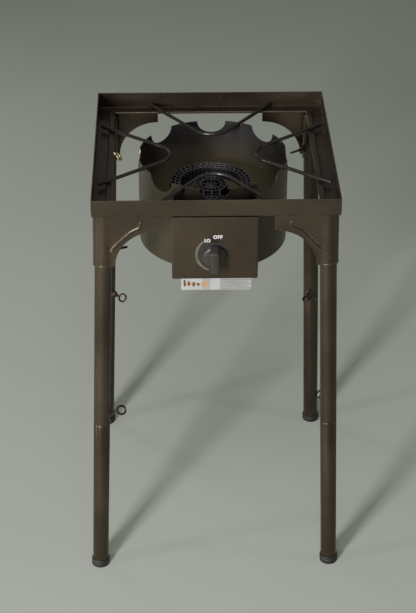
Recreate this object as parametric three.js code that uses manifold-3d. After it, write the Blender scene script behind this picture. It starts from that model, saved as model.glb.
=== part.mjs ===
// A single-burner propane stand: a square steel top frame on four splayed two-piece legs, four bent
// trivet rods over a scalloped windscreen, a cast ring burner, and a control box on the front rail.
// Millimetres, +Z up, origin on the floor under the frame's centre, control knob facing -Y.
import * as THREE from 'three';
import { mergeVertices } from 'three/addons/utils/BufferGeometryUtils.js';
import Module from 'manifold-3d';

const wasm = await Module();
wasm.setup();

const FIT = 0.3; // gap left where two pieces touch

// Top frame: four mitred rails, each a wall, a shelf and an upturned inner bead.
const FRAME_TOP = 745;
const FRAME_HALF = 203.2;
const RAIL_BOTTOM = 714.6;
const SHEET = 2;
const SHELF_EDGE = 181.8;
const BEAD_EDGE = 171.6;
const BEAD_TOP = 721.2;

// Corner brackets: a leg socket with two wing plates that run out under the rails.
const WING_REACH = 95.5;
const WING_END_Z = 687;
const WING_THICKNESS = 1.8;
const WING_OUTER = 201.1;
const WING_TOP = RAIL_BOTTOM - FIT;
const RIB_RADIUS = 4;

// Legs: the axis of each leg at the socket's lower end, and how far it leans out per millimetre down.
const SOCKET_Z = 620;
const LEG_X = 186.9;
const LEG_Y = 188.9;
const SPLAY_X = 0.036;
const SPLAY_Y = 0.05;
const TUBE_RADIUS = 14.3;
const TUBE_WALL = 1.5;
const SOCKET_LENGTH = 93;
const SOCKET_WALL = 1.6;
const UPPER_INSERT = 90;
const SEAM_Z = 306;
const NECK_LENGTH = 60;
const NECK_RADIUS = TUBE_RADIUS - TUBE_WALL - 0.5;
const LEG_END_Z = 6;
const FOOT_RADIUS = 16.2;
const FOOT_HEIGHT = 13;
const TUBE_SIDES = 20;

// Eye screws that lock the leg sections.
const SCREW_RADIUS = 2.7;
const EYE_RADIUS = 7.4;
const EYE_WIRE = 1.9;
const SCREW_REACH = 8.6;
const NUT_RADIUS = 6.6;
const NUT_HEIGHT = 5;
const SOCKET_SCREW_Z = 641;

// Trivet rods: each a V with a rounded apex towards the centre.
const ROD_RADIUS = 3.1;
const ROD_Z = 724.6;
const ROD_APEX = 73.8;
const ROD_END = 195;
const ROD_SLOPE = Math.atan(0.75);
const ROD_BEND = 35;

// Windscreen drum with eight scallops in its top edge.
const DRUM_RADIUS = 128.9;
const DRUM_WALL = 1.5;
const DRUM_BOTTOM = 568.7;
const PEAK_Z = 725;
const SCALLOPS = 8;
const SCALLOP_DEPTH = 23;
const SCALLOP_HALF_WIDTH = 25.5;
const AIR_HOLE_RADIUS = 21;

// Burner casting, its cross strap and the gas train behind the knob.
const RING_OUTER = 71.5;
const RING_INNER = 53.5;
const RING_TOP = 671;
const HEAD_OUTER = 28.5;
const HEAD_INNER = 16;
const HEAD_TOP = 667;
const CAST_BOTTOM = 650;
const BOSS_RADIUS = 12;
const STRAP_TOP = 625;
const STRAP_THICKNESS = 3;
const STRAP_WIDTH = 44;
const STRAP_HALF = 124.6;
const GAS_X = -3.4;
const GAS_Z = 643.5;
const HORN_MOUTH_Y = -146;
const HORN_END_Y = -50;

// Control box and knob.
const BOX_X = -2;
const BOX_HALF = 71.1;
const BOX_FRONT = -203.8;
const BOX_BACK = -110.3;
const BOX_BOTTOM = 597.5;
const BOX_TOP = 713.3;
const BOX_SHEET = 1.5;
const BOX_BEND = 4;
const KNOB_RADIUS = 19.2;
const KNOB_BACK = BOX_FRONT - 3.4;
const KNOB_DEPTH = 28.2;
const GRIP_HALF_LENGTH = 19;
const GRIP_HALF_WIDTH = 7;
const VALVE_SCREW_X = 12.5;

const DOWN = new THREE.Vector3(SPLAY_X, SPLAY_Y, -1).normalize();
const Y_AXIS = new THREE.Vector3(0, 1, 0);

// ---- Materials -------------------------------------------------------------------------------

function finish(color, roughness, metalness) {
  return new THREE.MeshStandardMaterial({ color, roughness, metalness });
}

const paint = finish(0x3d362d, 0.45, 0.5);
const burntPaint = finish(0x2c2823, 0.6, 0.4);
const castIron = finish(0x232021, 0.8, 0.5);
const zinc = finish(0xa09d95, 0.35, 0.9);
const brass = finish(0xb08d4a, 0.35, 0.9);
const darkPlate = finish(0x4a4030, 0.4, 0.8);
const knobPlastic = finish(0x2b2a2c, 0.55, 0);
const rubber = finish(0x1c1b1a, 0.85, 0);
const cardStock = finish(0xc9c7c0, 0.8, 0);

// ---- Solids ----------------------------------------------------------------------------------

// One closed, indexed body: shared vertices merged, flat slivers dropped, faces turned outwards.
function closed(geometry) {
  const bare = geometry.clone();
  bare.deleteAttribute('normal');
  bare.deleteAttribute('uv');
  const merged = mergeVertices(bare, 1e-4);
  const p = merged.attributes.position;
  const corner = [new THREE.Vector3(), new THREE.Vector3(), new THREE.Vector3()];
  const index = [];
  let volume = 0;
  for (let i = 0; i < merged.index.count; i += 3) {
    const ids = [0, 1, 2].map((k) => merged.index.getX(i + k));
    if (new Set(ids).size < 3) continue;
    ids.forEach((id, k) => corner[k].fromBufferAttribute(p, id));
    volume += corner[0].dot(corner[1].cross(corner[2]));
    index.push(...ids);
  }
  if (volume < 0) index.reverse();
  merged.setIndex(index);
  return merged;
}

function toManifold(geometry) {
  const body = closed(geometry);
  const vertProperties = new Float32Array(body.attributes.position.array);
  const triVerts = new Uint32Array(body.index.array);
  return new wasm.Manifold(new wasm.Mesh({ numProp: 3, vertProperties, triVerts }));
}

function fromManifold(manifold) {
  const mesh = manifold.getMesh();
  const geometry = new THREE.BufferGeometry();
  geometry.setAttribute('position', new THREE.BufferAttribute(mesh.vertProperties, 3));
  geometry.setIndex(new THREE.BufferAttribute(mesh.triVerts, 1));
  return geometry;
}

function join(...geometries) {
  return fromManifold(geometries.map(toManifold).reduce((sum, next) => sum.add(next)));
}

function cut(geometry, ...tools) {
  return fromManifold(tools.map(toManifold).reduce((rest, t) => rest.subtract(t), toManifold(geometry)));
}

function lathe(outline, sides) {
  return new THREE.LatheGeometry(outline.map(([r, y]) => new THREE.Vector2(r, y)), sides);
}

function block(x0, x1, y0, y1, z0, z1) {
  const box = new THREE.BoxGeometry(x1 - x0, y1 - y0, z1 - z0);
  return box.translate((x0 + x1) / 2, (y0 + y1) / 2, (z0 + z1) / 2);
}

// A rod of round section from one point to another.
function rod(from, to, radius, sides) {
  const start = new THREE.Vector3(...from);
  const span = new THREE.Vector3(...to).sub(start);
  const body = new THREE.CylinderGeometry(radius, radius, span.length(), sides);
  body.translate(0, span.length() / 2, 0);
  body.applyQuaternion(new THREE.Quaternion().setFromUnitVectors(Y_AXIS, span.normalize()));
  return body.translate(...start);
}

// A lathed body turned so that its axis runs along +Y of the stand, at the gas train's line.
function onGasLine(geometry) {
  return geometry.translate(GAS_X, 0, GAS_Z);
}

function polygon(points) {
  return new THREE.Shape(points.map(([x, y]) => new THREE.Vector2(x, y)));
}

function prism(shape, depth, curveSegments = 10) {
  return new THREE.ExtrudeGeometry(shape, { depth, bevelEnabled: false, curveSegments });
}

function node(name, geometry, material) {
  const body = closed(geometry).toNonIndexed();
  body.computeVertexNormals();
  const mesh = new THREE.Mesh(body, material);
  mesh.name = name;
  return mesh;
}

// ---- Top frame -------------------------------------------------------------------------------

// The rail's bent-sheet section, as [distance from the centre, height].
function railSection() {
  const shelfTop = RAIL_BOTTOM + SHEET;
  const wallInner = FRAME_HALF - SHEET;
  const beadOuter = SHELF_EDGE - SHEET;
  return polygon([
    [FRAME_HALF, FRAME_TOP],
    [FRAME_HALF, RAIL_BOTTOM + 1.8],
    [FRAME_HALF - 1.8, RAIL_BOTTOM],
    [SHELF_EDGE, RAIL_BOTTOM],
    [beadOuter, RAIL_BOTTOM + 2],
    [beadOuter, BEAD_TOP - 3],
    [beadOuter - 1.5, BEAD_TOP - SHEET],
    [BEAD_EDGE + 3, BEAD_TOP - SHEET],
    [BEAD_EDGE + SHEET, BEAD_TOP - 3.6],
    [BEAD_EDGE, BEAD_TOP - 3.6],
    [BEAD_EDGE + 0.6, BEAD_TOP - 1.5],
    [BEAD_EDGE + 2.2, BEAD_TOP],
    [SHELF_EDGE - 2.4, BEAD_TOP],
    [SHELF_EDGE - 0.5, BEAD_TOP - 1.5],
    [SHELF_EDGE, shelfTop + 1.2],
    [SHELF_EDGE + 1, shelfTop],
    [wallInner, shelfTop],
    [wallInner, FRAME_TOP],
  ]);
}

// The section swept along one side of the square, its ends cut to the mitre.
function mitredRail() {
  const body = prism(railSection(), 1);
  const p = body.attributes.position;
  for (let i = 0; i < p.count; i += 1) {
    const halfLength = p.getX(i) - FIT;
    p.setZ(i, p.getZ(i) < 0.5 ? -halfLength : halfLength);
  }
  const turn = new THREE.Matrix4().makeBasis(
    new THREE.Vector3(0, -1, 0),
    new THREE.Vector3(0, 0, 1),
    new THREE.Vector3(-1, 0, 0),
  );
  return body.applyMatrix4(turn);
}

function topFrame() {
  const frame = new THREE.Group();
  ['front', 'right', 'back', 'left'].forEach((side, quarter) => {
    const rail = node(`rail_${side}`, mitredRail(), paint);
    rail.rotation.z = (quarter * Math.PI) / 2;
    frame.add(rail);
  });
  return frame;
}

// ---- Trivet rods -----------------------------------------------------------------------------

// A centre line made of straight arms and one arc, with a single step along each arm.
class BentRod extends THREE.Curve {
  constructor(bendSteps) {
    super();
    this.bendSteps = bendSteps;
    const vertexX = ROD_APEX - ROD_BEND * (1 / Math.sin(ROD_SLOPE) - 1);
    this.arcX = vertexX + ROD_BEND / Math.sin(ROD_SLOPE);
    this.endY = (ROD_END - vertexX) * Math.tan(ROD_SLOPE);
    this.sweep = Math.PI - 2 * ROD_SLOPE;
  }

  getUtoTmapping(u) {
    return u;
  }

  getPoint(t) {
    const step = t * (this.bendSteps + 2);
    const onArc = THREE.MathUtils.clamp((step - 1) / this.bendSteps, 0, 1);
    const angle = Math.PI + this.sweep * (onArc - 0.5);
    const arc = new THREE.Vector3(Math.cos(angle), Math.sin(angle), 0).multiplyScalar(ROD_BEND);
    arc.x += this.arcX;
    if (step < 1) return new THREE.Vector3(ROD_END, this.endY, 0).lerp(arc, step);
    const past = Math.max(step - 1 - this.bendSteps, 0);
    return arc.lerp(new THREE.Vector3(ROD_END, -this.endY, 0), past);
  }
}

// The section is turned so that a flat faces up, where the pot rests.
function trivetRod(radius) {
  const bendSteps = 8;
  const section = new THREE.Shape().absarc(0, 0, radius, Math.PI / 8, 2.125 * Math.PI);
  const options = { extrudePath: new BentRod(bendSteps), steps: bendSteps + 2, curveSegments: 4 };
  return new THREE.ExtrudeGeometry(section, options).translate(0, 0, ROD_Z);
}

function trivets() {
  const set = new THREE.Group();
  ['right', 'back', 'left', 'front'].forEach((side, quarter) => {
    const trivet = node(`trivet_${side}`, trivetRod(ROD_RADIUS), paint);
    trivet.rotation.z = (quarter * Math.PI) / 2;
    set.add(trivet);
  });
  return set;
}

// ---- Windscreen ------------------------------------------------------------------------------

// The top edge as [angle, height] pairs: elliptical scallops centred on the axes, flat peaks between.
function scallopedEdge() {
  const valleySteps = 10;
  const peakSteps = 4;
  const pitch = (2 * Math.PI) / SCALLOPS;
  const halfWidth = SCALLOP_HALF_WIDTH / DRUM_RADIUS;
  const edge = [];
  for (let k = 0; k < SCALLOPS; k += 1) {
    for (let i = 0; i < valleySteps; i += 1) {
      const t = Math.PI * (i / valleySteps - 0.5);
      edge.push([k * pitch + halfWidth * Math.sin(t), PEAK_Z - SCALLOP_DEPTH * Math.cos(t)]);
    }
    for (let i = 0; i < peakSteps; i += 1) {
      edge.push([k * pitch + halfWidth + ((pitch - 2 * halfWidth) * i) / peakSteps, PEAK_Z]);
    }
  }
  return edge;
}

function drumShell() {
  const inner = DRUM_RADIUS - DRUM_WALL;
  const positions = [];
  for (const [angle, top] of scallopedEdge()) {
    const rings = [[DRUM_RADIUS, DRUM_BOTTOM], [DRUM_RADIUS, top], [inner, top], [inner, DRUM_BOTTOM]];
    for (const [r, z] of rings) positions.push(r * Math.cos(angle), r * Math.sin(angle), z);
  }
  const columns = positions.length / 12;
  const index = [];
  for (let i = 0; i < columns; i += 1) {
    const j = (i + 1) % columns;
    for (let k = 0; k < 4; k += 1) {
      const [a, b, c, d] = [4 * i + k, 4 * j + k, 4 * j + ((k + 1) % 4), 4 * i + ((k + 1) % 4)];
      index.push(a, b, c, a, c, d);
    }
  }
  const shell = new THREE.BufferGeometry();
  shell.setAttribute('position', new THREE.Float32BufferAttribute(positions, 3));
  shell.setIndex(index);
  return shell;
}

// The rods sit in notches in the peaks; the burner's horn passes through the hole in front.
function windscreen() {
  const hole = rod([GAS_X, -DRUM_RADIUS - 10, GAS_Z], [GAS_X, -DRUM_RADIUS + 20, GAS_Z], AIR_HOLE_RADIUS, 20);
  const notches = [0, 1, 2, 3].map((quarter) => trivetRod(ROD_RADIUS + FIT).rotateZ((quarter * Math.PI) / 2));
  return node('windscreen_drum', cut(drumShell(), hole, ...notches), burntPaint);
}

// ---- Burner ----------------------------------------------------------------------------------

function ring(inner, outer, bottom, top, sides) {
  const edge = 1.5;
  const outline = [
    [inner, bottom],
    [outer, bottom],
    [outer, top - edge],
    [outer - edge, top],
    [inner + edge, top],
    [inner, top - edge],
    [inner, bottom],
  ];
  return lathe(outline, sides).rotateX(Math.PI / 2);
}

// The mixing horn runs from its flared mouth at the control box to the middle of the casting.
function horn(radius, mouthRadius, mouthY) {
  const flare = 26;
  const outline = [
    [0, mouthY],
    [mouthRadius, mouthY],
    [radius, mouthY + flare],
    [radius, HORN_END_Y],
    [0, HORN_END_Y],
  ];
  return onGasLine(lathe(outline, 20));
}

function burnerCasting() {
  const arms = [
    block(-56, 56, -5, 5, CAST_BOTTOM - 4, CAST_BOTTOM + 7),
    block(-5, 5, -56, 56, CAST_BOTTOM - 4, CAST_BOTTOM + 7),
  ];
  const neck = block(-16, 16, -56, -20, CAST_BOTTOM - 4, HEAD_TOP - 1);
  const boss = rod([0, 0, STRAP_TOP + FIT], [0, 0, HEAD_TOP - 2], BOSS_RADIUS, 16);
  const head = join(
    ring(RING_INNER, RING_OUTER, CAST_BOTTOM, RING_TOP, 40),
    ring(HEAD_INNER, HEAD_OUTER, CAST_BOTTOM, HEAD_TOP, 24),
    ...arms,
    neck,
    boss,
  );
  const body = join(head.translate(GAS_X, 0, 0), horn(13, 19, HORN_MOUTH_Y));
  const bore = horn(10, 16.5, HORN_MOUTH_Y - 1);
  const boltHole = rod([GAS_X, 0, STRAP_TOP - 1], [GAS_X, 0, STRAP_TOP + 21], 4.3, 12);
  return node('burner_casting', cut(body, bore, boltHole), castIron);
}

function burnerStrap() {
  const low = STRAP_TOP - 20;
  const under = STRAP_TOP - STRAP_THICKNESS;
  const inner = STRAP_HALF - STRAP_THICKNESS;
  const section = polygon([
    [-STRAP_HALF, low],
    [-STRAP_HALF, STRAP_TOP],
    [STRAP_HALF, STRAP_TOP],
    [STRAP_HALF, low],
    [inner, low],
    [inner, under],
    [-inner, under],
    [-inner, low],
  ]);
  const strap = prism(section, STRAP_WIDTH).rotateX(Math.PI / 2).translate(0, STRAP_WIDTH / 2, 0);
  const hole = rod([GAS_X, 0, under - 1], [GAS_X, 0, STRAP_TOP + 1], 4.4, 12);
  return node('burner_strap', cut(strap, hole), burntPaint);
}

function burnerBolt() {
  const seat = STRAP_TOP - STRAP_THICKNESS - FIT;
  const washer = lathe([[4.4, seat - 1.6], [9, seat - 1.6], [9, seat], [4.4, seat], [4.4, seat - 1.6]], 16);
  const head = rod([0, 0, seat - 7.6], [0, 0, seat - 1.6 - FIT], 7, 6);
  const shank = rod([0, 0, seat - 4], [0, 0, STRAP_TOP + 18], 4, 12);
  const parts = new THREE.Group();
  parts.add(node('burner_bolt', join(head, shank), zinc));
  parts.add(node('burner_washer', washer.rotateX(Math.PI / 2), zinc));
  parts.position.x = GAS_X;
  return parts;
}

// ---- Gas train -------------------------------------------------------------------------------

function airShutter() {
  const front = HORN_MOUTH_Y - 1.7;
  const disc = rod([GAS_X, front, GAS_Z], [GAS_X, front + 1.2, GAS_Z], 18.5, 24);
  const centre = rod([GAS_X, front - 1, GAS_Z], [GAS_X, front + 3, GAS_Z], 6.6, 12);
  const windows = [0, 1, 2].map((k) => {
    const a = (k * 2 * Math.PI) / 3 + Math.PI / 2;
    const [x, z] = [GAS_X + 12 * Math.cos(a), GAS_Z + 12 * Math.sin(a)];
    return rod([x, front - 1, z], [x, front + 3, z], 4, 10);
  });
  return node('air_shutter', cut(disc, centre, ...windows), zinc);
}

function orifice() {
  const outline = [
    [0, -172],
    [8.5, -172],
    [8.5, -162],
    [6, -161],
    [6, -147],
    [3.2, -140],
    [0, -140],
  ];
  return node('orifice_fitting', onGasLine(lathe(outline, 12)), brass);
}

function valveBody() {
  const front = BOX_FRONT + BOX_SHEET + FIT;
  const flange = block(GAS_X - 20, GAS_X + 20, front, front + 3, GAS_Z - 9, GAS_Z + 9);
  const barrel = rod([GAS_X, front, GAS_Z], [GAS_X, -172 - FIT, GAS_Z], 10.5, 16);
  const inlet = rod([GAS_X, -184, GAS_Z], [GAS_X, -184, GAS_Z - 27], 8.5, 6);
  const stemBore = rod([GAS_X, front - 1, GAS_Z], [GAS_X, -184, GAS_Z], 4, 12);
  const holes = [-VALVE_SCREW_X, VALVE_SCREW_X].map((x) =>
    rod([GAS_X + x, front - 1, GAS_Z], [GAS_X + x, front + 4, GAS_Z], 2.2, 8),
  );
  return node('valve_body', cut(join(flange, barrel, inlet), stemBore, ...holes), brass);
}

// A flare nipple that points down out of the open bottom of the control box.
function gasInlet() {
  const top = GAS_Z - 27 - FIT;
  const outline = [
    [3, top],
    [8, top],
    [8, top - 5],
    [6.6, top - 6],
    [6.6, top - 13],
    [4, top - 17],
    [3, top - 17],
    [3, top],
  ];
  const nipple = lathe(outline, 16).rotateX(Math.PI / 2);
  return node('gas_inlet_fitting', nipple.translate(GAS_X, -184, 0), brass);
}

function valveStem() {
  const tip = KNOB_BACK - 12;
  const shaft = rod([GAS_X, tip, GAS_Z], [GAS_X, -187.5, GAS_Z], 3.1, 12);
  return node('valve_stem', shaft, zinc);
}

// A collar behind the panel takes the return spring's load and slides in with the stem.
function stemCollar() {
  const y0 = KNOB_BACK + 0.2;
  const outline = [[3.5, y0], [4.6, y0], [4.6, y0 + 1.6], [3.5, y0 + 1.6], [3.5, y0]];
  return node('stem_collar', onGasLine(lathe(outline, 14)), zinc);
}

function valveScrews() {
  const pair = new THREE.Group();
  [['left', -VALVE_SCREW_X], ['right', VALVE_SCREW_X]].forEach(([side, dx]) => {
    const x = GAS_X + dx;
    const head = rod([x, BOX_FRONT - FIT - 1.6, GAS_Z], [x, BOX_FRONT - FIT, GAS_Z], 3, 10);
    const shank = rod([x, BOX_FRONT - FIT - 1, GAS_Z], [x, BOX_FRONT + 5, GAS_Z], 1.8, 8);
    pair.add(node(`valve_screw_${side}`, join(head, shank), zinc));
  });
  return pair;
}

// A skirted knob with a grip bar; its back is hollow so that it clears the valve's screws when pushed in.
function knob() {
  const back = KNOB_BACK;
  const outline = [
    [0, back - 9],
    [KNOB_RADIUS - 2.5, back - 8],
    [KNOB_RADIUS - 0.8, back - 6.5],
    [KNOB_RADIUS, back - 4],
    [KNOB_RADIUS, back],
    [KNOB_RADIUS - 1.6, back],
    [KNOB_RADIUS - 1.6, back - 4.5],
    [0, back - 4.5],
  ];
  const hub = rod([GAS_X, back - 6, GAS_Z], [GAS_X, back - 0.6, GAS_Z], 6, 14);
  const front = back - KNOB_DEPTH;
  const [left, right] = [GAS_X - GRIP_HALF_WIDTH, GAS_X + GRIP_HALF_WIDTH];
  const [low, high] = [GAS_Z - GRIP_HALF_LENGTH, GAS_Z + GRIP_HALF_LENGTH];
  const grip = block(left, right, front, back - 6, low, high);
  const bore = rod([GAS_X, back - 12.5, GAS_Z], [GAS_X, back + 1, GAS_Z], 3.4, 12);
  return node('control_knob', cut(join(onGasLine(lathe(outline, 28)), hub, grip), bore), knobPlastic);
}

// ---- Control box -----------------------------------------------------------------------------

function controlBox() {
  const [x0, x1, r, t] = [BOX_X - BOX_HALF, BOX_X + BOX_HALF, BOX_BEND, BOX_SHEET];
  const wall = new THREE.Shape();
  wall.moveTo(x0, BOX_BACK);
  wall.lineTo(x0, BOX_FRONT + r);
  wall.absarc(x0 + r, BOX_FRONT + r, r, Math.PI, 1.5 * Math.PI, false);
  wall.absarc(x1 - r, BOX_FRONT + r, r, 1.5 * Math.PI, 2 * Math.PI, false);
  wall.lineTo(x1, BOX_BACK);
  wall.lineTo(x1 - t, BOX_BACK);
  wall.absarc(x1 - r, BOX_FRONT + r, r - t, 2 * Math.PI, 1.5 * Math.PI, true);
  wall.absarc(x0 + r, BOX_FRONT + r, r - t, 1.5 * Math.PI, Math.PI, true);
  wall.lineTo(x0 + t, BOX_BACK);
  const sides = prism(wall, BOX_TOP - BOX_BOTTOM, 4).translate(0, 0, BOX_BOTTOM);
  const flange = block(x0 + 1, x1 - 1, BOX_FRONT + 0.5, BOX_FRONT + 24, BOX_TOP - t, BOX_TOP);
  const stemHole = rod([GAS_X, BOX_FRONT - 1, GAS_Z], [GAS_X, BOX_FRONT + 3, GAS_Z], 6, 14);
  const screwHoles = [-VALVE_SCREW_X, VALVE_SCREW_X].map((dx) => {
    const x = GAS_X + dx;
    return rod([x, BOX_FRONT - 1, GAS_Z], [x, BOX_FRONT + 3, GAS_Z], 2.2, 8);
  });
  return node('control_box', cut(join(sides, flange), stemHole, ...screwHoles), paint);
}

// A blank instruction card held behind the box's lower edge.
function instructionCard() {
  const y = BOX_FRONT + BOX_SHEET + FIT;
  return node('instruction_card', block(-58.3, 58.3, y, y + 0.8, 574.5, 625), cardStock);
}

// ---- Corners: bracket, legs, screws ----------------------------------------------------------
// Every corner is built where X and Y are both positive, then mirrored into place. Along a leg,
// lengths are measured down its axis from the socket's lower end.

const PER_Z = 1 / -DOWN.z;
const along = (z) => (SOCKET_Z - z) * PER_Z;

// Moves geometry built about the Y axis on to the leg's axis.
function onLeg(geometry) {
  geometry.applyQuaternion(new THREE.Quaternion().setFromUnitVectors(Y_AXIS, DOWN));
  return geometry.translate(LEG_X, LEG_Y, SOCKET_Z);
}

// A rod that points out of the leg sideways, at a heading counted from X towards Y.
function sideways(distance, heading, from, to, radius, sides) {
  const [c, s] = [Math.cos(heading), Math.sin(heading)];
  return rod([from * c, distance, from * s], [to * c, distance, to * s], radius, sides);
}

function wing() {
  const shape = new THREE.Shape();
  const arcX = WING_REACH + 1.5;
  shape.moveTo(WING_REACH, WING_TOP);
  shape.lineTo(WING_REACH, WING_END_Z);
  shape.absellipse(arcX, SOCKET_Z, 69.5, WING_END_Z - SOCKET_Z, Math.PI / 2, 0, true);
  shape.lineTo(LEG_X - 4, SOCKET_Z);
  shape.lineTo(LEG_X - 4, WING_TOP);
  return prism(shape, WING_THICKNESS, 10);
}

// The pressed rib follows the wing's curved edge and stands half out of its face.
function wingRib() {
  const path = new THREE.CatmullRomCurve3(
    [
      [124, 705.5],
      [124.7, 694.5],
      [139, 686],
      [155.5, 670],
      [165.5, 659],
      [172.5, 648],
    ].map(([x, z]) => new THREE.Vector3(x, z, 0)),
  );
  const section = new THREE.Shape().absarc(0, 0, RIB_RADIUS, 0, 2 * Math.PI);
  return new THREE.ExtrudeGeometry(section, { extrudePath: path, steps: 9, curveSegments: 3 });
}

function bracket(heading) {
  const alongX = new THREE.Matrix4().makeBasis(
    new THREE.Vector3(1, 0, 0),
    new THREE.Vector3(0, 0, 1),
    new THREE.Vector3(0, -1, 0),
  );
  const swap = new THREE.Matrix4().makeBasis(
    new THREE.Vector3(0, 1, 0),
    new THREE.Vector3(1, 0, 0),
    new THREE.Vector3(0, 0, 1),
  );
  const plate = wing().applyMatrix4(alongX).translate(0, WING_OUTER, 0);
  const rib = wingRib().applyMatrix4(alongX).translate(0, WING_OUTER - 2.1, 0);
  const faces = [plate, rib, plate.clone().applyMatrix4(swap), rib.clone().applyMatrix4(swap)];
  const boreRadius = TUBE_RADIUS + FIT + 0.05;
  const socket = rod([0, -SOCKET_LENGTH, 0], [0, 0, 0], boreRadius + SOCKET_WALL, TUBE_SIDES);
  const bore = rod([0, -SOCKET_LENGTH - 5, 0], [0, 5, 0], boreRadius, TUBE_SIDES);
  const screwAt = along(SOCKET_SCREW_Z);
  const face = boreRadius + SOCKET_WALL - 1;
  const nut = sideways(screwAt, heading, face, face + NUT_HEIGHT + 1, NUT_RADIUS, 6);
  const thread = sideways(screwAt, heading, 2, face + 12, SCREW_RADIUS + FIT, 10);
  return cut(join(...faces, onLeg(socket), onLeg(nut)), onLeg(bore), onLeg(thread));
}

function tube(outer, inner, from, to) {
  return lathe([[outer, from], [outer, to], [inner, to], [inner, from], [outer, from]], TUBE_SIDES);
}

function upperLeg(screwZ, heading) {
  const bottom = along(SEAM_Z);
  const body = tube(TUBE_RADIUS, TUBE_RADIUS - TUBE_WALL, -UPPER_INSERT, bottom);
  const screwAt = along(screwZ);
  const face = TUBE_RADIUS - 1;
  const nut = sideways(screwAt, heading, face, face + NUT_HEIGHT + 1, NUT_RADIUS, 6);
  const thread = sideways(screwAt, heading, 2, face + 12, SCREW_RADIUS + FIT, 10);
  const inside = rod([0, -UPPER_INSERT - 5, 0], [0, bottom + 5, 0], TUBE_RADIUS - TUBE_WALL, TUBE_SIDES);
  return onLeg(cut(join(body, nut), thread, inside));
}

// The lower section's neck is drawn in so that it slides up inside the upper section.
function lowerLeg() {
  const seam = along(SEAM_Z) + FIT;
  const end = along(LEG_END_Z);
  const outline = [
    [NECK_RADIUS, seam - NECK_LENGTH],
    [NECK_RADIUS, seam],
    [TUBE_RADIUS, seam],
    [TUBE_RADIUS, end],
    [TUBE_RADIUS - TUBE_WALL, end],
    [TUBE_RADIUS - TUBE_WALL, seam + 5],
    [NECK_RADIUS - TUBE_WALL, seam + 1.5],
    [NECK_RADIUS - TUBE_WALL, seam - NECK_LENGTH],
    [NECK_RADIUS, seam - NECK_LENGTH],
  ];
  return onLeg(lathe(outline, TUBE_SIDES));
}

// The cap stands flat on the floor although the leg leans.
function footCap() {
  const end = along(LEG_END_Z);
  const outline = [
    [0, end + FIT],
    [TUBE_RADIUS + FIT + 0.05, end + FIT],
    [TUBE_RADIUS + FIT + 0.05, end + 6 - FOOT_HEIGHT],
    [FOOT_RADIUS, end + 6 - FOOT_HEIGHT],
    [FOOT_RADIUS, end + 10],
    [0, end + 10],
  ];
  const floor = block(0, 400, 0, 400, -40, 0);
  return cut(onLeg(lathe(outline, TUBE_SIDES)), floor);
}

// A threaded shank with a wire eye; seat is the radius at which its tip stops inside the leg.
function eyeScrew(z, heading, seat, turn) {
  const reach = TUBE_RADIUS + NUT_HEIGHT + SCREW_REACH;
  const eye = new THREE.TorusGeometry(EYE_RADIUS, EYE_WIRE, 6, 14);
  eye.rotateX(turn).translate(reach + EYE_RADIUS, 0, 0).rotateY(-heading).translate(0, along(z), 0);
  const shank = sideways(along(z), heading, seat, reach + 1.2, SCREW_RADIUS, 8);
  return onLeg(join(shank, eye));
}

// Screw headings and eye angles in degrees. The brackets are one pressing turned to each corner, so
// their screws point a little off the diagonal; each leg was turned by hand, so its screw varies.
const CORNERS = {
  fl: { x: -1, y: -1, socket: { heading: 210, turn: 60 }, seam: { z: 325, heading: 200, turn: -36 } },
  fr: { x: 1, y: -1, socket: { heading: 240, turn: 30 }, seam: { z: 338, heading: 250, turn: -59 } },
  bl: { x: -1, y: 1, socket: { heading: 240, turn: -15 }, seam: { z: 321, heading: 218, turn: 40 } },
  br: { x: 1, y: 1, socket: { heading: 210, turn: 124 }, seam: { z: 323, heading: 255, turn: -75 } },
};

function cornerSet(key, { x, y, socket, seam }) {
  const rad = THREE.MathUtils.degToRad;
  const socketSeat = TUBE_RADIUS + FIT + 0.1;
  const seamSeat = NECK_RADIUS + FIT;
  const socketScrew = eyeScrew(SOCKET_SCREW_Z, rad(socket.heading), socketSeat, rad(socket.turn));
  const seamScrew = eyeScrew(seam.z, rad(seam.heading), seamSeat, rad(seam.turn));
  const set = new THREE.Group();
  set.add(
    node(`bracket_${key}`, bracket(rad(socket.heading)), paint),
    node(`leg_upper_${key}`, upperLeg(seam.z, rad(seam.heading)), paint),
    node(`leg_lower_${key}`, lowerLeg(), paint),
    node(`foot_cap_${key}`, footCap(), rubber),
    node(`socket_screw_${key}`, socketScrew, darkPlate),
    node(`seam_screw_${key}`, seamScrew, darkPlate),
  );
  set.scale.set(x, y, 1);
  return set;
}

// ---- The stand -------------------------------------------------------------------------------

const stand = new THREE.Group();
stand.name = 'propane_burner_stand';
stand.add(topFrame(), trivets(), windscreen());
stand.add(burnerCasting(), burnerStrap(), burnerBolt());
stand.add(airShutter(), orifice(), valveBody(), gasInlet());
stand.add(valveStem(), stemCollar(), valveScrews(), knob());
stand.add(controlBox(), instructionCard());
for (const [key, corner] of Object.entries(CORNERS)) stand.add(cornerSet(key, corner));

export default stand;
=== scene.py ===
"""Visual model of a single-burner propane stand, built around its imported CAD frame.

Shapes are worked out in millimetres, as in the CAD, and turned to metres when a mesh is made.
"""

import math

import bpy
import bmesh
from mathutils import Matrix, Vector, noise


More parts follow.
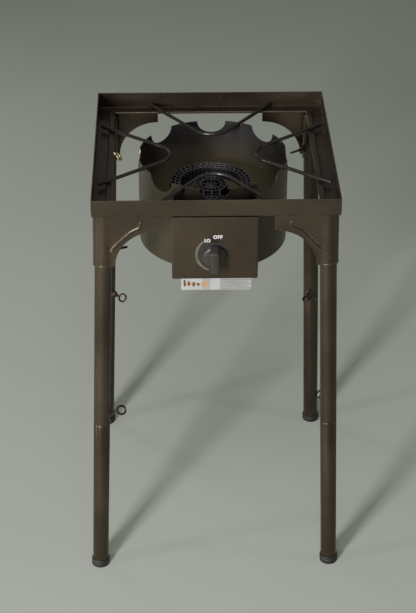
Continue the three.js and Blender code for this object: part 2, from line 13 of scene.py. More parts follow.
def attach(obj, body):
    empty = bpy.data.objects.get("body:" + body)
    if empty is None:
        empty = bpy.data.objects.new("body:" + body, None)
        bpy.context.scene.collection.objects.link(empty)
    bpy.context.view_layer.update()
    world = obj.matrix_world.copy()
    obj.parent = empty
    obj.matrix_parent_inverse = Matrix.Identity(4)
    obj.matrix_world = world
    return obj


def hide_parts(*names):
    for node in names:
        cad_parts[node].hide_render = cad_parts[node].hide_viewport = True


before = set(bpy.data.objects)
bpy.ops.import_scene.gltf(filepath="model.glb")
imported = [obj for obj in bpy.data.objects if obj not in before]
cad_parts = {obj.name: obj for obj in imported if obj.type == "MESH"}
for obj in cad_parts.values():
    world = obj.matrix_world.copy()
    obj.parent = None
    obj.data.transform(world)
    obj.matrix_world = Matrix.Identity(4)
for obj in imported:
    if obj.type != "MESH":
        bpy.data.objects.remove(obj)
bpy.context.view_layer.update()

MM = 0.001
TAU = 2 * math.pi

# ---- Driving dimensions, in millimetres
FIT = 0.3
FRAME_TOP = 745
FRAME_HALF = 203.2
RAIL_BOTTOM = 714.6
SHEET = 2
SHELF_EDGE = 181.8
BEAD_EDGE = 171.6
BEAD_TOP = 721.2
LIP_DROP = 3.6
RAIL_BEND = 1.25

WING_REACH = 95.5
WING_FOOT = 166.5
WING_END_Z = 687
WING_THICKNESS = 1.8
WING_OUTER = 201.1
WING_TOP = RAIL_BOTTOM - FIT
# The pressed rib's middle line on a wing, as (distance along the wing, height), and half its width.
RIB_CORNERS = ((124, 705.5), (124.7, 694.5), (139, 686), (155.5, 670), (165.5, 659), (172.5, 648))
RIB_HALF = 3.6

SOCKET_Z = 620
LEG_X, LEG_Y = 186.9, 188.9
SPLAY_X, SPLAY_Y = 0.036, 0.05
TUBE_RADIUS = 14.3
TUBE_WALL = 1.5
TUBE_SIDES = 56
SOCKET_LENGTH = 93
SOCKET_BORE = TUBE_RADIUS + 0.35
SOCKET_RADIUS = SOCKET_BORE + 1.6
UPPER_INSERT = 90
SEAM_Z = 306
NECK_LENGTH = 60
NECK_RADIUS = TUBE_RADIUS - TUBE_WALL - 0.5
LEG_END_Z = 6
FOOT_RADIUS = 16.2
FOOT_HEIGHT = 13

SCREW_RADIUS = 2.7
EYE_RADIUS = 7.4
EYE_WIRE = 1.9
SCREW_REACH = 8.6
NUT_RADIUS = 6.6
NUT_HEIGHT = 5
SOCKET_SCREW_Z = 641

ROD_RADIUS = 3.1
ROD_Z = 724.6
ROD_APEX = 73.8
ROD_END = 195
ROD_SLOPE = math.atan(0.75)
ROD_BEND = 35

DRUM_RADIUS = 128.9
DRUM_WALL = 1.5
DRUM_BOTTOM = 568.7
PEAK_Z = 725
SCALLOPS = 8
SCALLOP_DEPTH = 23
SCALLOP_HALF_WIDTH = 25.5
AIR_HOLE_RADIUS = 21

RING_OUTER, RING_INNER, RING_TOP = 71.5, 53.5, 671
RING_WALL, RING_PORTS = 2.8, 40
HEAD_OUTER, HEAD_INNER, HEAD_TOP = 28.5, 16, 667
HEAD_WALL, HEAD_PORTS = 3.2, 20
CAST_BOTTOM = 650
BOSS_RADIUS = 12
STRAP_TOP = 625
STRAP_THICKNESS = 3
STRAP_WIDTH = 44
STRAP_HALF = 124.6
STRAP_DROP = 20
BURNER_WASHER = 1.6
GAS_X, GAS_Z = -3.4, 643.5
HORN_MOUTH_Y, HORN_END_Y = -146, -50
FITTING_Y = -172
INLET_Y = -184
# The small CAD nodes that are shown as they are, with the width of their softened edges.
SHOWN_NODES = {"air_shutter": 0.25, "valve_stem": 0.2, "stem_collar": 0.2, "valve_screw_left": 0.3,
               "valve_screw_right": 0.3}

BOX_X, BOX_HALF = -2, 71.1
BOX_FRONT, BOX_BACK = -203.8, -110.3
BOX_BOTTOM, BOX_TOP = 597.5, 713.3
BOX_SHEET = 1.5
STEM_HOLE = 6
KNOB_RADIUS = 19.2
KNOB_BACK = BOX_FRONT - 3.4
KNOB_DEPTH = 28.2
GRIP_HALF = 19
GRIP_HALF_WIDTH = 7
# The second radius is that of the near-black disc painted round the knob as its shadow.
DIAL_RADIUS, SHADOW_DISC_RADIUS = 31.6, 23.4
PRINT_DEPTH = 0.12
CARD_HALF, CARD_BOTTOM, CARD_TOP = 58.3, 574.5, 625
CARD_SHEET = 0.8

# Screw headings and eye angles in degrees, in a corner's own frame, where X and Y are positive.
CORNERS = {
    "fl": dict(side=(-1, -1), socket=(SOCKET_SCREW_Z, 210, 60), seam=(325, 200, -36)),
    "fr": dict(side=(1, -1), socket=(SOCKET_SCREW_Z, 240, 30), seam=(338, 250, -59)),
    "bl": dict(side=(-1, 1), socket=(SOCKET_SCREW_Z, 240, -15), seam=(321, 218, 40)),
    "br": dict(side=(1, 1), socket=(SOCKET_SCREW_Z, 210, 124), seam=(323, 255, -75)),
}
QUARTERS = {"front": 0, "right": 1, "back": 2, "left": 3}


# ---- Materials
class Surface:
    """Builds one procedural material: tone, roughness, bump and rubbed edges."""

    def __init__(self, name, metallic):
        self.material = bpy.data.materials.new(name)
        self.material.use_nodes = True
        self.tree = self.material.node_tree
        self.shader = self.tree.nodes["Principled BSDF"]
        self.shader.inputs["Metallic"].default_value = metallic
        self.coords = self.node("TexCoord").outputs["Object"]

    def node(self, kind, operation=None):
        made = self.tree.nodes.new(f"ShaderNode{kind}")
        if operation:
            made.operation = operation
        return made

    def link(self, source, target):
        self.tree.links.new(source, target)

    def noise(self, scale, detail):
        texture = self.node("TexNoise")
        texture.inputs["Scale"].default_value = scale
        texture.inputs["Detail"].default_value = detail
        self.link(self.coords, texture.inputs["Vector"])
        return texture.outputs["Fac"]

    def from_axis(self):
        """How far a point is from the stand's upright axis, in metres."""
        flat = self.node("VectorMath", "MULTIPLY")
        flat.inputs[1].default_value = (1, 1, 0)
        length = self.node("VectorMath", "LENGTH")
        self.link(self.coords, flat.inputs[0])
        self.link(flat.outputs["Vector"], length.inputs[0])
        return length.outputs["Value"]

    def upward(self, vector):
        """The part of a vector that points up."""
        split = self.node("SeparateXYZ")
        self.link(vector, split.inputs[0])
        return split.outputs["Z"]

    def height(self):
        """How high a point is, in metres."""
        return self.upward(self.coords)

    def level(self):
        """1 on faces that look up, 0 on walls and undersides."""
        geometry = self.node("NewGeometry")
        return self.remap(self.upward(geometry.outputs["True Normal"]), 0.4, 0.8, 0, 1)

    def remap(self, value, low, high, to_low, to_high):
        node = self.node("MapRange")
        for socket, number in zip(node.inputs[1:5], (low, high, to_low, to_high)):
            socket.default_value = number
        self.link(value, node.inputs["Value"])
        return node.outputs["Result"]

    def mix(self, factor, first, second):
        node = self.node("Mix")
        node.data_type = "RGBA"
        self.link(factor, node.inputs[0])
        for socket, colour in ((node.inputs[6], first), (node.inputs[7], second)):
            if isinstance(colour, tuple):
                socket.default_value = (*colour, 1)
            else:
                self.link(colour, socket)
        return node.outputs[2]

    def blend(self, factor, first, second):
        node = self.node("Mix")
        self.link(factor, node.inputs[0])
        self.link(first, node.inputs[2])
        node.inputs[3].default_value = second
        return node.outputs[0]

    def edges(self, radius, amount):
        """A mask that is strong on convex corners and broken up by noise."""
        bevel = self.node("Bevel")
        bevel.samples = 4
        bevel.inputs["Radius"].default_value = radius * MM
        geometry = self.node("NewGeometry")
        dot = self.node("VectorMath", "DOT_PRODUCT")
        self.link(bevel.outputs["Normal"], dot.inputs[0])
        self.link(geometry.outputs["Normal"], dot.inputs[1])
        sharp = self.remap(dot.outputs["Value"], 0.995, 0.86, 0, amount)
        broken = self.remap(self.noise(60, 3), 0.36, 0.6, 0.5, 1)
        product = self.node("Math", "MULTIPLY")
        self.link(sharp, product.inputs[0])
        self.link(broken, product.inputs[1])
        return product.outputs[0]

    def bump(self, height, strength, distance):
        node = self.node("Bump")
        node.inputs["Strength"].default_value = strength
        node.inputs["Distance"].default_value = distance * MM
        self.link(height, node.inputs["Height"])
        self.link(node.outputs["Normal"], self.shader.inputs["Normal"])

    def set(self, colour, roughness):
        self.link(colour, self.shader.inputs["Base Color"])
        self.link(roughness, self.shader.inputs["Roughness"])
        return self.material


def painted(name, dark, light, rough, metallic, edge, edge_amount, grain=420, relief=0.025):
    """Satin metallic paint over sheet steel, rubbed brighter along its edges."""
    surface = Surface(name, metallic)
    tone = surface.remap(surface.noise(9, 5), 0.35, 0.68, 0, 1)
    body = surface.mix(tone, dark, light)
    speck = surface.remap(surface.noise(260, 2), 0.58, 0.74, 0, 0.05)
    body = surface.mix(speck, body, tuple(min(1, 1.9 * c) for c in light))
    worn = surface.edges(1.3, edge_amount)
    body = surface.mix(worn, body, edge)
    gloss = surface.remap(surface.noise(28, 5), 0.3, 0.7, rough - 0.05, rough + 0.08)
    surface.bump(surface.noise(grain, 3), relief, 0.4)
    return surface.set(body, surface.blend(worn, gloss, max(0.22, rough - 0.12)))


def glow_and_sheen_paint(name):
    """The drum's paint: bronze outside; inside, a painted olive glow low down and a painted, darker
    purple-grey sheen higher up, blended by height.
    """
    surface = Surface(name, 0.6)
    tone = surface.remap(surface.noise(7, 6), 0.35, 0.65, 0, 1)
    outside = surface.mix(tone, (0.048, 0.037, 0.026), (0.076, 0.059, 0.042))
    # Painted light inside the drum: a warm olive glow for the lower part and a darker purple-grey sheen for
    # the upper part.
    painted_glow = surface.mix(tone, (0.040, 0.031, 0.018), (0.078, 0.060, 0.034))
    painted_sheen = surface.mix(tone, (0.024, 0.020, 0.021), (0.062, 0.054, 0.058))
    inside = surface.mix(surface.remap(surface.height(), 0.635, 0.705, 0, 1), painted_glow, painted_sheen)
    edge = DRUM_RADIUS * MM
    sheet = surface.remap(surface.from_axis(), edge - 0.9 * DRUM_WALL * MM, edge - 0.3 * DRUM_WALL * MM, 0, 1)
    body = surface.mix(sheet, inside, outside)
    worn = surface.edges(1.2, 0.35)
    body = surface.mix(worn, body, (0.12, 0.10, 0.08))
    gloss = surface.remap(surface.noise(22, 5), 0.3, 0.7, 0.26, 0.40)
    surface.bump(surface.noise(420, 4), 0.05, 0.5)
    return surface.set(body, surface.blend(worn, gloss, 0.32))


def cast_iron(name):
    """Rough purple-grey iron: faces that look up keep the iron's tone, and walls and undersides are painted
    near-black as shade.
    """
    surface = Surface(name, 0.45)
    tone = surface.remap(surface.noise(34, 6), 0.35, 0.68, 0, 1)
    top = surface.mix(tone, (0.055, 0.048, 0.054), (0.112, 0.099, 0.110))
    # Painted shade: near-black on walls and undersides, with the lighter iron tone only on faces that look
    # up.
    body = surface.mix(surface.level(), (0.007, 0.006, 0.006), top)
    worn = surface.edges(0.9, 0.35)
    body = surface.mix(worn, body, (0.19, 0.17, 0.186))
    gloss = surface.remap(surface.noise(90, 4), 0.3, 0.7, 0.42, 0.68)
    surface.bump(surface.noise(650, 5), 0.35, 0.6)
    return surface.set(body, surface.blend(worn, gloss, 0.4))


def bare_metal(name, dark, light, rough):
    surface = Surface(name, 0.9)
    tone = surface.remap(surface.noise(60, 5), 0.32, 0.7, 0, 1)
    body = surface.mix(tone, dark, light)
    worn = surface.edges(0.7, 0.5)
    body = surface.mix(worn, body, tuple(min(1, 1.5 * c) for c in light))
    gloss = surface.remap(surface.noise(140, 4), 0.3, 0.7, rough - 0.07, rough + 0.12)
    surface.bump(surface.noise(700, 3), 0.08, 0.2)
    return surface.set(body, gloss)


def moulded(name, dark, light, rough, grain, relief):
    """Plastic, rubber or card: no metal, a fine matt grain and lightly scuffed edges."""
    surface = Surface(name, 0.0)
    tone = surface.remap(surface.noise(45, 4), 0.35, 0.65, 0, 1)
    body = surface.mix(tone, dark, light)
    worn = surface.edges(0.8, 0.35)
    body = surface.mix(worn, body, tuple(min(1, 1.7 * c) for c in light))
    gloss = surface.remap(surface.noise(120, 4), 0.3, 0.7, rough - 0.05, rough + 0.07)
    surface.bump(surface.noise(grain, 3), relief, 0.3)
    return surface.set(body, gloss)


def floor_finish():
    surface = Surface("floor_paper", 0.0)
    tone = surface.remap(surface.noise(1.5, 2), 0.3, 0.7, 0, 1)
    body = surface.mix(tone, (0.30, 0.335, 0.275), (0.315, 0.35, 0.29))
    return surface.set(body, surface.remap(surface.noise(40, 2), 0.3, 0.7, 0.9, 0.95))


LOOKS = {
    "bronze_paint": (painted, (0.050, 0.0375, 0.0275), (0.072, 0.0550, 0.0400), 0.26, 0.72,
                     (0.24, 0.20, 0.155), 0.45),
    "wire_paint": (painted, (0.026, 0.023, 0.021), (0.050, 0.044, 0.040), 0.27, 0.6,
                   (0.20, 0.18, 0.16), 0.5, 900, 0.03),
    # The drum's paint, which carries a painted glow and sheen on its inner face.
    "heated_paint": (glow_and_sheen_paint,),
    "cast_iron": (cast_iron,),
    "weld_metal": (bare_metal, (0.024, 0.020, 0.017), (0.060, 0.050, 0.042), 0.50),
    "zinc_steel": (bare_metal, (0.30, 0.29, 0.27), (0.52, 0.51, 0.48), 0.36),
    "brass": (bare_metal, (0.34, 0.23, 0.09), (0.55, 0.40, 0.18), 0.3),
    "plated_screw": (bare_metal, (0.022, 0.018, 0.013), (0.062, 0.050, 0.034), 0.34),
    "brassy_screw": (bare_metal, (0.20, 0.15, 0.075), (0.36, 0.29, 0.16), 0.34),
    "knob_plastic": (moulded, (0.019, 0.0155, 0.013), (0.029, 0.0245, 0.021), 0.33, 900, 0.08),
    "foot_rubber": (moulded, (0.009, 0.008, 0.007), (0.017, 0.015, 0.013), 0.6, 500, 0.2),
    # A near-black disc painted round the knob as its shadow on the panel.
    "painted_knob_shadow": (moulded, (0.016, 0.015, 0.015), (0.022, 0.021, 0.020), 0.5, 900, 0.05),
    "print_ink": (moulded, (0.72, 0.72, 0.70), (0.82, 0.82, 0.80), 0.5, 900, 0.05),
    "print_faded": (moulded, (0.058, 0.054, 0.045), (0.105, 0.100, 0.085), 0.5, 900, 0.05),
    "card": (moulded, (0.27, 0.265, 0.25), (0.35, 0.34, 0.32), 0.6, 500, 0.08),
    "card_orange": (moulded, (0.42, 0.17, 0.06), (0.55, 0.27, 0.11), 0.6, 500, 0.05),
    "card_brown": (moulded, (0.045, 0.022, 0.012), (0.085, 0.042, 0.020), 0.6, 500, 0.05),
    "card_white": (moulded, (0.46, 0.455, 0.44), (0.56, 0.55, 0.53), 0.6, 500, 0.05),
    "card_grey": (moulded, (0.12, 0.12, 0.118), (0.17, 0.17, 0.165), 0.6, 500, 0.05),
}
MATERIALS = {name: make(name, *values) for name, (make, *values) in LOOKS.items()}


# ---- Shells: closed (vertices, faces) made in millimetres
def arc(centre, radius, start, end, steps):
    """Points on an arc, angles in degrees."""
    angles = (math.radians(start + (end - start) * i / steps) for i in range(steps + 1))
    return [(centre[0] + radius * math.cos(a), centre[1] + radius * math.sin(a)) for a in angles]


def circle(radius, sides):
    return arc((0, 0), radius, 0, 360 * (sides - 1) / sides, sides - 1)


def turned(profile, sides, place=Matrix()):
    """Revolves (radius, y) points about local Y. The profile ends on the axis or on its first point."""
    closed = profile[0] == profile[-1]
    points = profile[:-1] if closed else profile
    verts, rings = [], []
    for radius, y in points:
        if radius == 0:
            rings.append([len(verts)] * sides)
            verts.append(Vector((0, y, 0)))
            continue
        rings.append(list(range(len(verts), len(verts) + sides)))
        for i in range(sides):
            a = TAU * i / sides
            verts.append(Vector((radius * math.cos(a), y, radius * math.sin(a))))
    pairs = list(zip(rings, rings[1:]))
    if closed:
        pairs.append((rings[-1], rings[0]))
    faces = []
    for first, second in pairs:
        for i in range(sides):
            j = (i + 1) % sides
            corners = list(dict.fromkeys((first[i], first[j], second[j], second[i])))
            if len(corners) > 2:
                faces.append(corners)
    return [place @ v for v in verts], faces


def stacked(rows, around):
    """Faces that join equal rings of points in order and cap both ends."""
    faces = []
    for i in range(rows - 1):
        first, second = i * around, (i + 1) * around
        for k in range(around):
            m = (k + 1) % around
            faces.append((first + k, first + m, second + m, second + k))
    faces.append(tuple(range(around)))
    faces.append(tuple(range((rows - 1) * around, rows * around)))
    return faces


def swept(path, section, up, sizes):
    """Carries a section along a path. up is square to the path and stays the section's second axis."""
    points = [Vector(p) for p in path]
    up = Vector(up).normalized()
    verts = []
    for i, point in enumerate(points):
        before, after = points[max(i - 1, 0)], points[min(i + 1, len(points) - 1)]
        side = up.cross((after - before).normalized()).normalized()
        verts += [point + (side * u + up * v) * sizes[i] for u, v in section]
    return verts, stacked(len(points), len(section))


def round_ended(path, reach):
    """The path with extra points near its ends, and the section's size at each, for domed ends."""
    points = [Vector(p) for p in path]
    head = (points[1] - points[0]).normalized() * reach
    tail = (points[-2] - points[-1]).normalized() * reach
    angles = [math.radians(a) for a in (12, 34, 58, 90)]
    start = [points[0] + head * (1 - math.cos(a)) for a in angles]
    end = [points[-1] + tail * (1 - math.cos(a)) for a in reversed(angles)]
    sizes = [math.sin(a) for a in angles]
    return start + points[1:-1] + end, sizes + [1] * (len(points) - 2) + sizes[::-1]


def rod(path, radius, sides, up):
    points, sizes = round_ended(path, radius)
    return swept(points, circle(radius, sides), up, sizes)


def plate(outline, depth, place=Matrix()):
    """Extrudes an outline in the local XY plane along local Z."""
    count = len(outline)
    verts = [place @ Vector((x, y, z)) for z in (0, depth) for x, y in outline]
    faces = [tuple(range(count)), tuple(range(count, 2 * count))]
    faces += [(i, (i + 1) % count, count + (i + 1) % count, count + i) for i in range(count)]
    return verts, faces


def block(low, high):
    outline = [(low[0], low[1]), (high[0], low[1]), (high[0], high[1]), (low[0], high[1])]
    return plate(outline, high[2] - low[2], Matrix.Translation((0, 0, low[2])))


def folded(corners, thickness, radius, steps=5):
    """The outline of a bent sheet whose middle line runs through the corners, with rounded bends."""
    points = [Vector(c) for c in corners]
    line = [(points[0], (points[1] - points[0]).normalized())]
    for before, corner, after in zip(points, points[1:], points[2:]):
        into, out = (corner - before).normalized(), (after - corner).normalized()
        turn = into.angle_signed(out)
        reach = radius * math.tan(abs(turn) / 2)
        start = corner - into * reach
        centre = start + Vector((into.y, -into.x)) * math.copysign(radius, turn)
        for i in range(steps + 1):
            spin = Matrix.Rotation(-turn * i / steps, 2)
            line.append((centre + spin @ (start - centre), spin @ into))
    line.append((points[-1], (points[-1] - points[-2]).normalized()))
    half = thickness / 2
    sides = [[p + Vector((-d.y, d.x)) * half * sign for p, d in line] for sign in (1, -1)]
    return [tuple(p) for p in sides[0] + sides[1][::-1]]


def lump(centre, radii, seed):
    """A weld blob: a ball squashed and roughened."""
    bm = bmesh.new()
    bmesh.ops.create_icosphere(bm, subdivisions=3, radius=1)
    verts = []
    for v in bm.verts:
        rough = 1 + 0.28 * noise.noise(v.co * 1.7 + Vector((seed * 7.3, 1.1, 0)))
        verts.append(Vector(centre) + Vector(v.co[i] * radii[i] * rough for i in range(3)))
    faces = [tuple(v.index for v in f.verts) for f in bm.faces]
    bm.free()
    return verts, faces


def weld_line(start, end, radius, up, seed):
    """A rippled bead of weld from one point to another."""
    start, end = Vector(start), Vector(end)
    length = (end - start).length
    steps = max(6, int(length / 0.6))
    path, sizes = [], []
    for i in range(steps + 1):
        t = i / steps
        ripple = 0.8 + 0.2 * abs(math.sin(t * length * 1.5)) + 0.18 * noise.noise(Vector((t * 9, seed, 0)))
        path.append(start.lerp(end, t))
        sizes.append(ripple * min(1, 0.35 + 4 * min(t, 1 - t)))
    return swept(path, circle(radius, 10), up, sizes)


def facing(direction, place):
    """A frame at place whose Y axis points in a direction."""
    spin = Vector((0, 1, 0)).rotation_difference(Vector(direction))
    return Matrix.Translation(place) @ spin.to_matrix().to_4x4()


def upright(x, y):
    return facing((0, 0, 1), (x, y, 0))


def in_panel(x, y, z):
    """A frame whose X, Y and Z axes lie along the stand's X, Z and Y, for plates that face the front."""
    return Matrix(((1, 0, 0, x), (0, 0, 1, y), (0, 1, 0, z), (0, 0, 0, 1)))


# ---- Pieces
def in_scene(name, data):
    made = bpy.data.objects.new(name, data)
    bpy.context.scene.collection.objects.link(made)
    return made


def mesh_of(name, shells, quarter=0, side=(1, 1)):
    """One mesh in metres, turned by quarters and mirrored where a side is -1."""
    spin = Matrix.Rotation(quarter * math.pi / 2, 4, "Z")
    bm = bmesh.new()
    for verts, faces in shells:
        made = []
        for v in verts:
            x, y, z = spin @ v
            made.append(bm.verts.new((x * side[0] * MM, y * side[1] * MM, z * MM)))
        for corners in faces:
            bm.faces.new([made[i] for i in corners])
    bmesh.ops.remove_doubles(bm, verts=bm.verts, dist=1e-3 * MM)
    bmesh.ops.recalc_face_normals(bm, faces=bm.faces)
    mesh = bpy.data.meshes.new(name)
    bm.to_mesh(mesh)
    bm.free()
    return mesh


def piece(name, shells, finish, body="stand", nodes=(), bevel=0.0, side=(1, 1), quarter=0, crease=32,
          segments=2):
    """Makes one mesh of the shells and puts it on its body, in place of its CAD nodes."""
    mesh = mesh_of(name, shells, quarter, side)
    for face in mesh.polygons:
        face.use_smooth = True
    mesh.set_sharp_from_angle(angle=math.radians(crease))
    mesh.materials.append(MATERIALS[finish])
    made = in_scene(name, mesh)
    if bevel:
        soften(made, bevel, segments)
    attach(made, body)
    if nodes:
        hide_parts(*nodes)
    return made


def soften(target, width, segments=2):
    bevel = target.modifiers.new("soft_edges", "BEVEL")
    bevel.width = width * MM
    bevel.segments = segments
    bevel.limit_method = "ANGLE"
    bevel.angle_limit = math.radians(38)
    bevel.harden_normals = True
    bevel.use_clamp_overlap = True


def carve(target, shells):
    """Cuts closed shells out of a piece's mesh, under the modifiers it already has."""
    cutter = in_scene("cutter", mesh_of("cutter", shells))
    others = list(target.modifiers)
    boolean = target.modifiers.new("cut", "BOOLEAN")
    boolean.operation = "DIFFERENCE"
    boolean.object = cutter
    for modifier in others:
        modifier.show_viewport = False
    bpy.context.view_layer.update()
    shape = target.evaluated_get(bpy.context.evaluated_depsgraph_get())
    target.data = bpy.data.meshes.new_from_object(shape)
    target.modifiers.remove(boolean)
    for modifier in others:
        modifier.show_viewport = True
    bpy.data.objects.remove(cutter)


def finish_node(name, finish, bevel):
    """Shows a CAD node itself, with softened edges and a material."""
    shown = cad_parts[name]
    shown.data.materials.clear()
    shown.data.materials.append(MATERIALS[finish])
    soften(shown, bevel)


# ---- Camera, light and floor
def make_camera():
    """A long lens, high in front and a little to the left."""
    data = bpy.data.cameras.new("camera")
    data.lens = 99.5
    data.sensor_width = 36
    data.shift_x = -0.0184
    data.shift_y = -0.0031
    data.clip_end = 50
    camera = in_scene("camera", data)
    camera.location = (-0.0750, -2.5998, 2.0653)
    yaw, pitch, roll = -0.0336, 0.5648, 0.0071
    level = Matrix.Rotation(yaw, 4, "Z") @ Matrix.Rotation(math.pi / 2 - pitch, 4, "X")
    camera.rotation_mode = "QUATERNION"
    camera.rotation_quaternion = (level @ Matrix.Rotation(roll, 4, "Z")).to_quaternion()
    bpy.context.scene.camera = camera


def world_light():
    world = bpy.data.worlds.new("world")
    world.use_nodes = True
    background = world.node_tree.nodes["Background"]
    background.inputs["Color"].default_value = (0.80, 0.80, 0.80, 1)
    background.inputs["Strength"].default_value = 0.28
    bpy.context.scene.world = world


def area_light(name, place, width, height, power):
    """A soft rectangle of light that faces the middle of the stand."""
    data = bpy.data.lights.new(name, "AREA")
    data.shape = "RECTANGLE"
    data.size, data.size_y = width, height
    data.energy = power
    light = in_scene(name, data)
    light.location = place
    light.rotation_mode = "QUATERNION"
    light.rotation_quaternion = (Vector((0, 0, 0.5)) - Vector(place)).to_track_quat("-Z", "Y")


def studio():
    world_light()
    area_light("key", (-1.35, -2.5, 1.5), 0.45, 0.9, 122)
    area_light("over", (-0.3, -1.4, 3.0), 1.2, 0.8, 26)
    area_light("strip_left", (-2.5, -0.9, 0.8), 0.3, 1.3, 24)
    area_light("rim_left", (-1.7, 1.5, 0.75), 0.35, 1.2, 9)
    area_light("strip_right", (2.3, -0.5, 0.8), 0.2, 1.2, 8)


def make_floor():
    half = 40
    corners = [(-half, -half, 0), (half, -half, 0), (half, half, 0), (-half, half, 0)]
    mesh = bpy.data.meshes.new("floor")
    mesh.from_pydata(corners, [], [(0, 1, 2, 3)])
    mesh.materials.append(floor_finish())
    in_scene("floor", mesh)


# ---- Top frame
def rail_outline():
    """The rail's section as (distance from the middle, height)."""
    wall, shelf = FRAME_HALF - SHEET / 2, RAIL_BOTTOM + SHEET / 2
    bead, lip = SHELF_EDGE - SHEET / 2, BEAD_EDGE + SHEET / 2
    top = BEAD_TOP - SHEET / 2
    corners = [(wall, FRAME_TOP), (wall, shelf), (bead, shelf), (bead, top), (lip, top)]
    corners.append((lip, BEAD_TOP - LIP_DROP))
    return folded(corners, SHEET, RAIL_BEND)


def rail(name, quarter):
    outline = rail_outline()
    columns = 9
    verts = []
    for i in range(columns):
        along_rail = 2 * i / (columns - 1) - 1
        verts += [Vector(((r - FIT / 2) * along_rail, -r, z)) for r, z in outline]
    shell = verts, stacked(columns, len(outline))
    piece(f"rail_{name}_steel", [shell], "bronze_paint", nodes=[f"rail_{name}"], bevel=0.45, quarter=quarter)


def frame_welds(quarter):
    """Ground welds at one corner: the outer edge, the inner edge and the mitre across the shelf."""
    outer, inner, seat = FRAME_HALF - 1.1, FRAME_HALF - SHEET - 0.2, RAIL_BOTTOM + SHEET
    foot, lip = (inner, -inner, seat - 0.3), (SHELF_EDGE, -SHELF_EDGE, seat - 0.3)
    low, high = (outer, -outer, RAIL_BOTTOM + 1.5), (outer, -outer, FRAME_TOP - 1.2)
    shells = [
        weld_line(low, high, 1.55, (1, 1, 0), quarter),
        weld_line((inner, -inner, seat), (inner, -inner, FRAME_TOP - 4), 1.5, (1, 1, 0), quarter + 5),
        weld_line(foot, lip, 1.3, (0, 0, 1), quarter + 9),
    ]
    piece(f"corner_welds_{quarter}", shells, "bronze_paint", quarter=quarter)


def top_frame():
    for name, quarter in QUARTERS.items():
        rail(name, quarter)
        frame_welds(quarter)


# ---- Trivet rods
def rod_line():
    """The middle line of the right-hand rod: two straight arms and one arc at the apex."""
    vertex = ROD_APEX - ROD_BEND * (1 / math.sin(ROD_SLOPE) - 1)
    arc_x = vertex + ROD_BEND / math.sin(ROD_SLOPE)
    end_y = (ROD_END - vertex) * math.tan(ROD_SLOPE)
    half = 90 - math.degrees(ROD_SLOPE)
    bend = arc((arc_x, 0), ROD_BEND, 180 - half, 180 + half, 14)
    return [(ROD_END, end_y), *bend, (ROD_END, -end_y)]


def rod_crossing(distance):
    """Where the right-hand rod's upper arm is this far from the middle, as an angle."""
    (end_x, end_y), (start_x, start_y) = rod_line()[:2]
    dx, dy = end_x - start_x, end_y - start_y
    a, b, c = dx * dx + dy * dy, start_x * dx + start_y * dy, start_x**2 + start_y**2 - distance**2
    t = (math.sqrt(b * b - a * c) - b) / a
    return math.atan2(start_y + t * dy, start_x + t * dx)


def trivet(name, quarter):
    line = [Vector((x, y, ROD_Z)) for x, y in rod_line()]
    turn = quarter + 3
    wire = rod(line, ROD_RADIUS, 20, (0, 0, 1))
    piece(f"trivet_{name}_rod", [wire], "wire_paint", nodes=[f"trivet_{name}"], quarter=turn)
    lip = (BEAD_EDGE + SHELF_EDGE) / 2
    start, apex_side = line[0], line[1]
    slope = (start.y - apex_side.y) / (start.x - apex_side.x)
    lip_y = start.y + slope * (lip - start.x)
    middle = DRUM_RADIUS - DRUM_WALL / 2
    angle = rod_crossing(middle)
    blobs = []
    for sign in (1, -1):
        for offset in (-2.9, 2.9):
            on_lip = (lip + offset, sign * (lip_y + 0.4 * offset), BEAD_TOP + 0.7)
            blobs.append(lump(on_lip, (3.4, 2.7, 1.9), offset + sign))
            spot = angle + offset / middle
            on_drum = (middle * math.cos(spot), sign * middle * math.sin(spot), ROD_Z - 2.7)
            blobs.append(lump(on_drum, (2.5, 2.5, 2.3), offset + 3 * sign))
    piece(f"trivet_{name}_welds", blobs, "weld_metal", quarter=turn, crease=60)


def trivets():
    for name, quarter in QUARTERS.items():
        trivet(name, quarter)


# ---- Windscreen drum
def drum_edge():
    """The top edge as sorted [angle, height] pairs: scallops, flat peaks and a notch for each rod."""
    pitch = TAU / SCALLOPS
    half = SCALLOP_HALF_WIDTH / DRUM_RADIUS
    notch = (ROD_RADIUS + 0.5) / DRUM_RADIUS
    step = 0.4 / DRUM_RADIUS
    crossing = rod_crossing(DRUM_RADIUS - DRUM_WALL / 2)
    rods = [quarter * TAU / 4 + sign * crossing for quarter in range(4) for sign in (1, -1)]
    valley_steps, peak_steps, corner = 26, 10, 1.6
    edge = []
    for k in range(SCALLOPS):
        for i in range(valley_steps + 1):
            t = math.pi * (i / valley_steps - 0.5)
            edge.append([k * pitch + half * math.sin(t), PEAK_Z - SCALLOP_DEPTH * math.cos(t)])
        for i in range(1, peak_steps):
            edge.append([k * pitch + half + (pitch - 2 * half) * i / peak_steps, PEAK_Z])
        edge[-peak_steps][1] = min(edge[-peak_steps][1], PEAK_Z - corner * 0.4)
    for at in rods:
        edge = [e for e in edge if abs((e[0] - at + math.pi) % TAU - math.pi) > notch + step]
        edge += [[(at + d) % TAU, PEAK_Z] for d in (-notch - step, notch + step)]
        edge += [[(at + d) % TAU, ROD_Z - ROD_RADIUS - 0.2] for d in (-notch, notch)]
    return sorted([a % TAU, z] for a, z in edge)


def drum_shell():
    """The drum's wall, one column of points for each point on its top edge."""
    hem, rows = 10, 9
    low = DRUM_BOTTOM + hem
    inner = DRUM_RADIUS - DRUM_WALL
    verts, faces = [], []
    edge = drum_edge()
    for angle, top in edge:
        heights = [DRUM_BOTTOM, DRUM_BOTTOM + 0.6]
        heights += [low + (top - 1 - low) * i / rows for i in range(rows + 1)] + [top]
        column = [(DRUM_RADIUS, z) for z in heights] + [(inner, z) for z in reversed(heights)]
        verts += [Vector((r * math.cos(angle), r * math.sin(angle), z)) for r, z in column]
    size = len(verts) // len(edge)
    for i in range(len(edge)):
        j = (i + 1) % len(edge)
        for k in range(size):
            m = (k + 1) % size
            faces.append((i * size + k, j * size + k, j * size + m, i * size + m))
    return verts, faces


